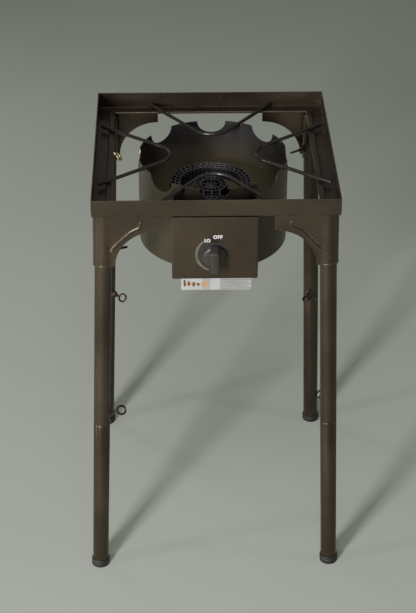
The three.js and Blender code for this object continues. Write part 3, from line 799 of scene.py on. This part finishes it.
def windscreen():
    sheet = [drum_shell()]
    shell = piece("drum_sheet", sheet, "heated_paint", nodes=["windscreen_drum"], bevel=0.4, crease=50)
    front = facing((0, 1, 0), (GAS_X, -DRUM_RADIUS - 20, GAS_Z))
    carve(shell, [turned([(0, 0), (AIR_HOLE_RADIUS, 0), (AIR_HOLE_RADIUS, 40), (0, 40)], 48, front)])
    seam_low, seam_high = DRUM_BOTTOM + 2, PEAK_Z - SCALLOP_DEPTH - 2
    seam = weld_line((0, DRUM_RADIUS, seam_low), (0, DRUM_RADIUS, seam_high), 1.2, (1, 0, 0), 3)
    piece("drum_seam_weld", [seam], "heated_paint", crease=60)
    spots = []
    for sign in (1, -1):
        for y in (-13, 13):
            x = math.sqrt(DRUM_RADIUS**2 - y * y)
            spots.append(lump((sign * x, y, STRAP_TOP - 10), (1.1, 4.2, 4.2), y + sign))
    piece("strap_spot_welds", spots, "heated_paint", crease=60)


# ---- Burner
def ridged(inner, outer, top, floor, ridges, width):
    """A ring's closed profile with raised ridges and sunk channels between them."""
    profile = [(inner, CAST_BOTTOM), (inner, top - 1)]
    step = (outer - inner - width) / (ridges - 1)
    for i in range(ridges):
        low = inner + step * i
        if i:
            profile += [(low, floor), (low + 0.1, top - 1)]
        profile += [(low + 0.6, top), (low + width - 0.6, top)]
        if i < ridges - 1:
            profile += [(low + width - 0.1, top - 1), (low + width, floor)]
    profile += [(outer, top - 1), (outer, CAST_BOTTOM + 2), (outer - 2, CAST_BOTTOM), (inner, CAST_BOTTOM)]
    return profile


def spokes(inner, outer, count, width, low, high, phase=0.0):
    shells = []
    for i in range(count):
        spin = Matrix.Rotation(TAU * (i + phase) / count, 4, "Z")
        verts, faces = block((inner, -width / 2, low), (outer, width / 2, high))
        shells.append(([spin @ v for v in verts], faces))
    return shells


def on_burner(shells):
    """Moves shells from the stand's middle to the burner's own axis."""
    return [([v + Vector((GAS_X, 0, 0)) for v in verts], faces) for verts, faces in shells]


def burner_ring():
    rows = 2
    ring = ridged(RING_INNER, RING_OUTER, RING_TOP, CAST_BOTTOM + 8, rows + 1, RING_WALL)
    shells = [turned(ring, 120, upright(0, 0))]
    pitch = (RING_OUTER - RING_INNER - RING_WALL) / rows
    for row in range(rows):
        inner, width = RING_INNER + 1.2 + row * pitch, 3.0 + 0.3 * row
        shells += spokes(inner, inner + pitch, RING_PORTS, width, CAST_BOTTOM + 6, RING_TOP - 0.5, row / 2)
    shells += spokes(RING_INNER - 1.3, RING_INNER + 1, RING_PORTS, 2.6, CAST_BOTTOM + 3, RING_TOP - 3.5, 0.5)
    piece("burner_ring", on_burner(shells), "cast_iron", nodes=["burner_casting"], bevel=0.35)


def burner_head():
    head = ridged(HEAD_INNER, HEAD_OUTER, HEAD_TOP, CAST_BOTTOM + 7, 2, HEAD_WALL)
    shells = [turned(head, 64, upright(0, 0))]
    shells += spokes(HEAD_INNER + 2, HEAD_OUTER - 2, HEAD_PORTS, 2.2, CAST_BOTTOM + 5, HEAD_TOP - 1)
    piece("burner_head", on_burner(shells), "cast_iron", bevel=0.35)


def burner_star():
    """The open cross that carries the head and ring: twin bars front to back, one pair of side arms."""
    low, high = CAST_BOTTOM - 4, CAST_BOTTOM + 8
    shells = []
    reach = RING_INNER + 1
    for bar, near, far in ((6, 14, 55), (-6, -55, -14)):
        shells.append(block((bar - 2.1, -reach, low), (bar + 2.1, reach, high + 4)))
        shells.append(block((near, -3.4, low), (far, 3.4, high)))
    boss = [(0, STRAP_TOP + FIT), (BOSS_RADIUS - 1, STRAP_TOP + FIT), (BOSS_RADIUS, STRAP_TOP + 2),
            (BOSS_RADIUS, HEAD_TOP - 8), (BOSS_RADIUS - 2.5, HEAD_TOP - 5), (0, HEAD_TOP - 5)]
    shells.append(turned(boss, 40, upright(0, 0)))
    shells += spokes(5, HEAD_INNER + 1, 6, 3.2, CAST_BOTTOM, HEAD_TOP - 3.5, 0.5)
    piece("burner_star", on_burner(shells), "cast_iron", bevel=0.8)


def burner_bridge():
    """The hollow neck that feeds the ring from the horn, with ported bars along its top."""
    low, high = CAST_BOTTOM - 4, HEAD_TOP - 1
    shells = [block((-16, -56, low), (16, -22, CAST_BOTTOM + 8))]
    for x in (-14.2, 0, 14.2):
        shells.append(block((x - 1.6, -56, CAST_BOTTOM), (x + 1.6, -24, high + 1.5)))
    for i in range(4):
        y = -52 + 8.4 * i
        shells.append(block((-14.5, y, CAST_BOTTOM), (14.5, y + 2.4, high - 1)))
    piece("burner_bridge", on_burner(shells), "cast_iron", bevel=0.5)


def burner_horn():
    """The air horn: a flared tube with a rib along its top."""
    mouth, end = HORN_MOUTH_Y, HORN_END_Y
    outer = [(13, end), (13, mouth + 30), (13.8, mouth + 22), (16.2, mouth + 12), (18, mouth + 5),
             (19, mouth + 3), (19, mouth + 0.6), (18.4, mouth)]
    bore = [(16.2, mouth), (15.4, mouth + 5), (12.6, mouth + 15), (10, mouth + 26), (10, end - 20),
            (0, end - 20)]
    horn = turned([(0, end)] + outer + bore, TUBE_SIDES, on_gas_line())
    ridge = block((GAS_X - 1.6, mouth + 14, GAS_Z + 11), (GAS_X + 1.6, end, GAS_Z + 15))
    piece("burner_horn", [horn, ridge], "cast_iron", bevel=0.5, crease=45)


def burner_strap():
    side, top, low = STRAP_HALF - STRAP_THICKNESS / 2, STRAP_TOP - STRAP_THICKNESS / 2, STRAP_TOP - STRAP_DROP
    outline = folded([(-side, low), (-side, top), (side, top), (side, low)], STRAP_THICKNESS, 3.5)
    strap = plate(outline, STRAP_WIDTH, in_panel(0, -STRAP_WIDTH / 2, 0))
    piece("burner_strap_steel", [strap], "heated_paint", nodes=["burner_strap"], bevel=0.5)


def hexagon(radius, bottom, top):
    """A hexagonal nut or head with both ends turned to a chamfer."""
    inner, low, high = radius - 1, bottom + 0.6, top - 0.6
    return [(0, bottom), (inner, bottom), (radius, low), (radius, high), (inner, top), (0, top)]


def thread(radius, bottom, top, pitch=1.0):
    """Points of a threaded length: one ridge in each pitch."""
    depth = 0.35
    count = max(2, int((top - bottom) / pitch))
    step = (top - bottom) / count
    points = [(radius - depth, bottom)]
    for i in range(count):
        points += [(radius, bottom + step * (i + 0.5)), (radius - depth, bottom + step * (i + 1))]
    return points


def burner_bolt():
    up = upright(GAS_X, 0)
    seat = STRAP_TOP - STRAP_THICKNESS - FIT
    under = seat - BURNER_WASHER
    shank = [(0, seat - 4), (3.6, seat - 4), *thread(4, under, STRAP_TOP + 17.5, 1.25), (0, STRAP_TOP + 18)]
    bolt = [turned(hexagon(7, under - 6, under - FIT), 6, up), turned(shank, 28, up)]
    piece("burner_bolt_steel", bolt, "zinc_steel", nodes=["burner_bolt"], bevel=0.3)
    washer = [(4.4, under), (9, under), (9, seat), (4.4, seat), (4.4, under)]
    piece("burner_washer_steel", [turned(washer, 40, up)], "zinc_steel", nodes=["burner_washer"], bevel=0.3)


def burner():
    burner_ring()
    burner_head()
    burner_star()
    burner_bridge()
    burner_horn()
    burner_strap()
    burner_bolt()


# ---- Gas train
def on_gas_line():
    return Matrix.Translation((GAS_X, 0, GAS_Z))


def gas_train():
    line = on_gas_line()
    back = FITTING_Y
    outlet = [(0, back), (7.5, back), (8.5, back + 0.8), (8.5, back + 9.2), (7.5, back + 10), (0, back + 10)]
    nozzle = [(0, back + 8), *thread(6, back + 9.5, back + 25, 1.25), (3.2, back + 32), (1.2, back + 32),
              (1.0, back + 26), (0, back + 26)]
    fitting = [turned(outlet, 6, line), turned(nozzle, 32, line)]
    piece("orifice_brass", fitting, "brass", nodes=["orifice_fitting"], bevel=0.3)
    front = BOX_FRONT + BOX_SHEET + FIT
    flange = block((GAS_X - 20, front, GAS_Z - 9), (GAS_X + 20, front + 3, GAS_Z + 9))
    barrel = [(0, front), (10.5, front), (10.5, front + 9), (9.6, front + 10), (9.6, back - 2),
              (8.6, back - FIT), (0, back - FIT)]
    down = upright(GAS_X, INLET_Y)
    inlet = turned(hexagon(8.5, GAS_Z - 27, GAS_Z - 12), 6, down)
    neck = turned([(0, GAS_Z - 14), (7, GAS_Z - 14), (7, GAS_Z), (0, GAS_Z)], 28, down)
    valve = [flange, turned(barrel, 36, line), inlet, neck]
    piece("valve_body_brass", valve, "brass", nodes=["valve_body"], bevel=0.5)
    top = GAS_Z - 27 - FIT
    nipple = [(3, top), (8, top), (8, top - 5), (6.2, top - 6), *reversed(thread(6.6, top - 13, top - 6)),
              (4, top - 17), (3, top - 17), (3, top)]
    piece("gas_inlet_brass", [turned(nipple, 32, down)], "brass", nodes=["gas_inlet_fitting"], bevel=0.25)
    for name, bevel in SHOWN_NODES.items():
        finish_node(name, "zinc_steel", bevel)


# ---- Control box, dial and knob
def control_box():
    half = BOX_SHEET / 2
    left, right, front = BOX_X - BOX_HALF + half, BOX_X + BOX_HALF - half, BOX_FRONT + half
    outline = folded([(left, BOX_BACK), (left, front), (right, front), (right, BOX_BACK)], BOX_SHEET, 2.6, 6)
    walls = plate(outline, BOX_TOP - BOX_BOTTOM, Matrix.Translation((0, 0, BOX_BOTTOM)))
    flange = block((left, front - 0.1, BOX_TOP - BOX_SHEET), (right, BOX_FRONT + 24, BOX_TOP))
    box = piece("control_box_steel", [walls, flange], "bronze_paint", nodes=["control_box"], bevel=0.4)
    through = [(0, BOX_FRONT - 2), (STEM_HOLE, BOX_FRONT - 2), (STEM_HOLE, BOX_FRONT + 4), (0, BOX_FRONT + 4)]
    carve(box, [turned(through, 40, on_gas_line())])
    marks = []
    for dx in (-1, 1):
        for z in (BOX_TOP - 9, BOX_BOTTOM + 8):
            marks.append(lump((BOX_X + dx * (BOX_HALF - 12), BOX_FRONT + 0.3, z), (2.4, 0.55, 2.4), z + dx))
    piece("box_spot_welds", marks, "bronze_paint", crease=60)


def print_plate(name, outline, finish, depth):
    """A flat printed mark on the panel, from an outline in X and Z round the knob's axis."""
    piece(name, [plate(outline, depth, in_panel(GAS_X, BOX_FRONT - depth, GAS_Z))], finish)


def lettering(text, x, z, height):
    """Generic marks such as OFF, as a thin solid on the panel."""
    curve = bpy.data.curves.new(f"mark_{text}", "FONT")
    curve.body = text
    curve.size = height * 1.38
    curve.align_x, curve.align_y = "CENTER", "CENTER"
    curve.extrude = 0.06
    curve.offset = 0.2
    source = in_scene(f"mark_{text}", curve)
    bpy.context.view_layer.update()
    shape = source.evaluated_get(bpy.context.evaluated_depsgraph_get())
    mesh = bpy.data.meshes.new_from_object(shape)
    bpy.data.objects.remove(source)
    stand_up = Matrix.Rotation(math.pi / 2, 4, "X")
    place = Matrix.Translation((x, BOX_FRONT - 0.08, z))
    mesh.transform(Matrix.Scale(MM, 4) @ place @ stand_up)
    mesh.materials.clear()
    mesh.materials.append(MATERIALS["print_ink"])
    mark = in_scene(f"dial_mark_{text.lower()}", mesh)
    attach(mark, "stand")


def dial():
    back, front = BOX_FRONT, BOX_FRONT - PRINT_DEPTH
    # Painted shadow: a thin near-black disc round the stem hole stands in for the knob's shadow on the panel.
    hole, rim = STEM_HOLE, SHADOW_DISC_RADIUS
    ring = [(hole, back), (rim, back), (rim, front), (hole, front), (hole, back)]
    piece("knob_shadow_disc", [turned(ring, 72, on_gas_line())], "painted_knob_shadow")
    outer, inner = [], []
    steps = 28
    for i in range(steps + 1):
        t = i / steps
        angle = math.radians(126 + t * 128)
        narrow = DIAL_RADIUS - 1.2 - 3.4 * math.sin(math.pi * min(1, 0.16 + t * 0.68))
        outer.append((DIAL_RADIUS * math.cos(angle), DIAL_RADIUS * math.sin(angle)))
        inner.append((narrow * math.cos(angle), narrow * math.sin(angle)))
    print_plate("dial_flame_arc", outer + inner[::-1], "print_faded", PRINT_DEPTH)
    lettering("LO", -14.7, 670.2, 5.6)
    lettering("OFF", 2.4, 676.5, 6.3)


def knob():
    line = on_gas_line()
    back, radius, hollow = KNOB_BACK, KNOB_RADIUS, KNOB_RADIUS - 1.6
    skirt = [(0, back - 9), (radius - 5, back - 8.8)]
    skirt += [(r, back - 4 + y) for r, y in arc((radius - 3.6, -1.2), 3.4, -80, 0, 7)][1:]
    skirt += [(radius, back - 4), (radius, back), (hollow, back), (hollow, back - 4.5), (0, back - 4.5)]
    front = back - KNOB_DEPTH
    grip = grip_bar(GRIP_HALF_WIDTH, GRIP_HALF, back - 7, front)
    hub = [(3.4, back - 4.4), (6, back - 4.4), (6, back - 0.6), (3.4, back - 0.6), (3.4, back - 4.4)]
    shells = [turned(skirt, 72, line), grip, turned(hub, 28, line)]
    piece("knob_skirt", shells, "knob_plastic", "knob", ["control_knob"], bevel=0.9, crease=40, segments=3)
    tip = GAS_Z + GRIP_HALF - 2.5
    pointer = block((GAS_X - 0.7, front - 0.15, GAS_Z + 5), (GAS_X + 0.7, front + 0.6, tip))
    piece("knob_pointer", [pointer], "knob_plastic", "knob", bevel=0.15)


def grip_bar(half_width, half_length, back, front):
    """A finger bar with rounded ends that narrows a little towards its front."""
    sections = [(back, 1.03), (front + 1.2, 1.0), (front + 0.3, 0.97), (front, 0.9)]
    corner = 2.6
    verts = []
    for y, size in sections:
        side, end = half_width * size - corner, half_length * size - corner
        for turn, (u, v) in enumerate(((side, end), (-side, end), (-side, -end), (side, -end))):
            outline = arc((u, v), corner, 90 * turn, 90 * turn + 90, 6)
            verts += [Vector((GAS_X + a, y, GAS_Z + b)) for a, b in outline]
    return verts, stacked(len(sections), len(verts) // len(sections))


def instruction_card():
    """A pale card with plain blocks of colour where a printed one has pictures and text."""
    y = BOX_FRONT + BOX_SHEET + FIT
    half, bottom = CARD_HALF, CARD_BOTTOM
    sheet = block((-half, y, bottom), (half, y + CARD_SHEET, CARD_TOP))
    piece("card_sheet", [sheet], "card", nodes=["instruction_card"], bevel=0.2)
    visible = BOX_BOTTOM - bottom

    def patch(name, finish, x0, x1, low, high, layer=1):
        """A printed block: x from the card's left edge, heights as shares of what shows."""
        corner = (x0 - half, y - 0.09 * layer, bottom + low * visible)
        piece(f"card_{name}", [block(corner, (x1 - half, y, bottom + high * visible))], finish)

    patch("picture", "card_white", 1.5, 35, 0.06, 0.94)
    patch("picture_ground", "card_orange", 4, 31, 0.40, 0.62, 2)
    for i, start in enumerate((4, 11, 19, 27)):
        patch(f"picture_mark_{i}", "card_brown", start, start + 4, 0.30 + 0.06 * (i % 2), 0.86 - 0.09 * i, 3)
    patch("panel", "card_white", 49, 64, 0.04, 0.96)
    for i in range(5):
        patch(f"line_{i}", "card_grey", 66, 115 - 4 * (i % 2), 0.08 + 0.18 * i, 0.17 + 0.18 * i)
    face = in_panel(39.5 - half, y - 0.25, bottom + 0.5 * visible)
    piece("card_spot", [plate(circle(6.4, 36), 0.25, face)], "card_orange")


# ---- Corners: bracket, legs, screws
DOWN = Vector((SPLAY_X, SPLAY_Y, -1)).normalized()
ON_LEG = facing(DOWN, (LEG_X, LEG_Y, SOCKET_Z))


def along(z):
    """How far down the leg's axis a height is, from the socket's lower end."""
    return (SOCKET_Z - z) / -DOWN.z


def outward(z, heading):
    """A frame on the leg's axis at a height, whose Y axis points out at a heading in degrees."""
    a = math.radians(heading)
    local = facing((math.cos(a), 0, math.sin(a)), (0, along(z), 0))
    return ON_LEG @ local


def wing_rows():
    """The wing's free edge as (distance along the wing, height) pairs, from the socket's foot to the rail."""
    width, height = WING_FOOT - WING_REACH - 1.5, WING_END_Z - SOCKET_Z
    quarter_round = arc((0, 0), 1, 0, 90, 22)
    curve = [(WING_REACH + 1.5 + width * x, SOCKET_Z + height * y) for x, y in quarter_round]
    rise = (WING_TOP - WING_END_Z) / 6
    return curve + [(WING_REACH, WING_END_Z + z) for z in (0.2, *(rise * i for i in range(1, 7)))]


def wing_skin(axis_along, splay_along, axis_across, splay_across):
    """One wing as a bent sheet: flat under the rail, and wrapped on to the front of the socket."""
    reach = SOCKET_RADIUS * math.sin(math.radians(46))
    flat_columns, round_columns = 9, 16
    outer = []
    for edge, z in wing_rows():
        centre = axis_along - splay_along * (z - SOCKET_Z)
        depth = axis_across - splay_across * (z - SOCKET_Z)
        middle = max(edge + 1, centre - 24)
        columns = [edge + (middle - edge) * i / flat_columns for i in range(flat_columns)]
        columns += [middle + (centre + reach - middle) * i / round_columns for i in range(round_columns + 1)]
        row = []
        for u in columns:
            past = max(u - centre, 0)
            plane = WING_OUTER - 0.06 * past**2
            pipe = depth + math.sqrt(max(SOCKET_RADIUS**2 - (u - centre) ** 2, 0)) + 0.25
            soft = 2.4 * max(0, 1 - past / reach)
            row.append(Vector((u, (plane + pipe + math.hypot(plane - pipe, soft)) / 2, z)))
        outer.append(row)
    width = len(outer[0])
    verts = [v for row in outer for v in row]
    inner = len(verts)
    verts += [v - Vector((0, WING_THICKNESS, 0)) for v in verts]
    faces = []
    for i in range(len(outer) - 1):
        for k in range(width - 1):
            quad = (i * width + k, i * width + k + 1, (i + 1) * width + k + 1, (i + 1) * width + k)
            faces += [quad, tuple(inner + n for n in reversed(quad))]
    rim = [*range(width)] + [i * width + width - 1 for i in range(1, len(outer))]
    rim += [(len(outer) - 1) * width + k for k in reversed(range(width - 1))]
    rim += [i * width for i in reversed(range(1, len(outer) - 1))]
    for a, b in zip(rim, rim[1:] + rim[:1]):
        faces.append((a, b, inner + b, inner + a))
    return verts, faces


def rib_line():
    """The pressed rib's middle line: down from under the rail, then along the curved edge."""
    corners = [Vector(c) for c in RIB_CORNERS]
    points = []
    for i in range(len(corners) - 1):
        before = corners[max(i - 1, 0)]
        after = corners[min(i + 2, len(corners) - 1)]
        for s in range(6):
            t = s / 6
            a, b = corners[i], corners[i + 1]
            bend = (before * (-t + 2 * t**2 - t**3) + a * (2 - 5 * t**2 + 3 * t**3)
                    + b * (t + 4 * t**2 - 3 * t**3) + after * (t**3 - t**2)) / 2
            points.append(bend)
    return points + [corners[-1]]


def swap_axes(shell):
    verts, faces = shell
    return [Vector((v.y, v.x, v.z)) for v in verts], faces


def corner_piece(part, key, suffix, shells, finish, side, body=None, bevel=0.0, crease=32):
    """A piece in place of one corner's CAD node, on the body of that name unless another is given."""
    node = f"{part}_{key}"
    piece(f"{node}_{suffix}", shells, finish, body or node, [node], bevel, side, crease=crease)


def bracket(key, side, socket):
    line, sizes = round_ended([(p.x, WING_OUTER, p.y) for p in rib_line()], RIB_HALF)
    half_section = [(-RIB_HALF, -0.9), (-RIB_HALF, -0.1), (-2.7, 1.1), (-1.4, 1.75)]
    section = half_section + [(0, 1.95)] + [(-u, v) for u, v in reversed(half_section)]
    rib = swept(line, section, (0, 1, 0), sizes)
    shells = [wing_skin(LEG_X, SPLAY_X, LEG_Y, SPLAY_Y), rib]
    shells += [swap_axes(wing_skin(LEG_Y, SPLAY_Y, LEG_X, SPLAY_X)), swap_axes(rib)]
    top, outer = -SOCKET_LENGTH, SOCKET_RADIUS
    bead = [(outer + r, y) for r, y in arc((0, -2), 1.1, -90, 90, 8)]
    pipe = [(SOCKET_BORE, top), (outer, top), (outer, -3.4), *bead, (outer, -0.6), (outer - 0.8, 0),
            (SOCKET_BORE, 0), (SOCKET_BORE, top)]
    shells.append(turned(pipe, TUBE_SIDES, ON_LEG))
    z, heading, _ = socket
    shells.append(boss_nut(z, heading, outer))
    corner_piece("bracket", key, "steel", shells, "bronze_paint", side, "stand", bevel=0.45)
    inner = WING_OUTER - WING_THICKNESS - 2
    seam = weld_line((LEG_X - 9, inner, WING_TOP - 6), (LEG_X - 6, inner, SOCKET_Z + 8), 1.9, (0, 1, 0), 2)
    piece(f"bracket_{key}_welds", [seam, swap_axes(seam)], "bronze_paint", side=side, crease=60)


def boss_nut(z, heading, surface):
    """A nut welded to a tube, open for the screw."""
    low, high, bore, outer = surface - 1.2, surface + NUT_HEIGHT, SCREW_RADIUS + FIT, NUT_RADIUS
    profile = [(bore, low), (outer, low), (outer, high - 0.6), (outer - 0.9, high), (bore, high), (bore, low)]
    return turned(profile, 6, outward(z, heading))


def leg_upper(key, side, seam):
    end = along(SEAM_Z)
    outer, inner = TUBE_RADIUS, TUBE_RADIUS - TUBE_WALL
    tube = [(inner, -UPPER_INSERT), (outer, -UPPER_INSERT), (outer, end - 3), (outer + 0.35, end - 1.6),
            (outer + 0.35, end - 0.4), (outer - 0.2, end), (inner, end), (inner, -UPPER_INSERT)]
    z, heading, _ = seam
    shells = [turned(tube, TUBE_SIDES, ON_LEG), boss_nut(z, heading, outer)]
    corner_piece("leg_upper", key, "tube", shells, "bronze_paint", side, bevel=0.3)


def leg_lower(key, side):
    seam, end = along(SEAM_Z) + FIT, along(LEG_END_Z)
    top, neck, outer, bore = seam - NECK_LENGTH, NECK_RADIUS, TUBE_RADIUS, TUBE_RADIUS - TUBE_WALL
    tube = [(neck - 0.4, top), (neck, top + 1), (neck, seam), (outer - 0.7, seam), (outer, seam + 1.2),
            (outer, end), (bore, end), (bore, seam + 5), (neck - TUBE_WALL, seam + 1.5),
            (neck - TUBE_WALL, top), (neck - 0.4, top)]
    shells = [turned(tube, TUBE_SIDES, ON_LEG)]
    corner_piece("leg_lower", key, "tube", shells, "bronze_paint", side, bevel=0.3)


def foot_cap(key, side):
    """A rubber cap with one groove, cut level where it stands."""
    seat = along(LEG_END_Z)
    end = seat + 6
    top, bore = end - FOOT_HEIGHT, TUBE_RADIUS + 0.35
    outer, groove = FOOT_RADIUS, FOOT_RADIUS - 0.6
    profile = [(0, seat + FIT), (bore, seat + FIT), (bore, top), (groove, top), (outer, top + 0.8),
               (outer, top + 3), (groove, top + 3.8), (groove, top + 5), (outer, top + 5.8), (outer, end),
               (0, end)]
    verts, faces = turned(profile, TUBE_SIDES, ON_LEG)
    for v in verts:
        if v.z < 3:
            v.z = 0
    corner_piece("foot_cap", key, "rubber", [(verts, faces)], "foot_rubber", side, f"leg_lower_{key}")


def eye_screw(kind, key, side, spec, seat, finish):
    z, heading, turn = spec
    place = outward(z, heading)
    reach = TUBE_RADIUS + NUT_HEIGHT + SCREW_REACH
    radius = SCREW_RADIUS
    shank = [(0, seat), (radius - 0.8, seat), *thread(radius, seat + 0.6, reach - 1), (radius - 0.7, reach),
             (0, reach + 1)]
    neck = [(0, reach - 1.4), (radius - 0.4, reach - 1.2), (EYE_WIRE + 0.3, reach + 1.2), (0, reach + 2)]
    a, t = math.radians(heading), math.radians(turn)
    out, down = Vector((math.cos(a), 0, math.sin(a))), Vector((0, 1, 0))
    tangent = Vector((-math.sin(a), 0, math.cos(a)))
    across = down * math.cos(t) + tangent * math.sin(t)
    centre = out * (reach + EYE_RADIUS) + down * along(z)
    ring = [ON_LEG @ (centre + out * x + across * y) for x, y in arc((0, 0), EYE_RADIUS, 180, 528, 46)]
    eye = rod(ring, EYE_WIRE, 14, ON_LEG.to_3x3() @ out.cross(across))
    shells = [turned(shank, 24, place), eye, turned(neck, 20, place)]
    corner_piece(f"{kind}_screw", key, "steel", shells, finish, side, crease=40)


def corners():
    for key, corner in CORNERS.items():
        side = corner["side"]
        bracket(key, side, corner["socket"])
        leg_upper(key, side, corner["seam"])
        leg_lower(key, side)
        foot_cap(key, side)
        finish = "brassy_screw" if key == "bl" else "plated_screw"
        eye_screw("socket", key, side, corner["socket"], TUBE_RADIUS + 0.4, finish)
        eye_screw("seam", key, side, corner["seam"], NECK_RADIUS + FIT, "plated_screw")


# ---- The stand
make_camera()
studio()
make_floor()
top_frame()
trivets()
windscreen()
burner()
gas_train()
control_box()
dial()
knob()
instruction_card()
corners()
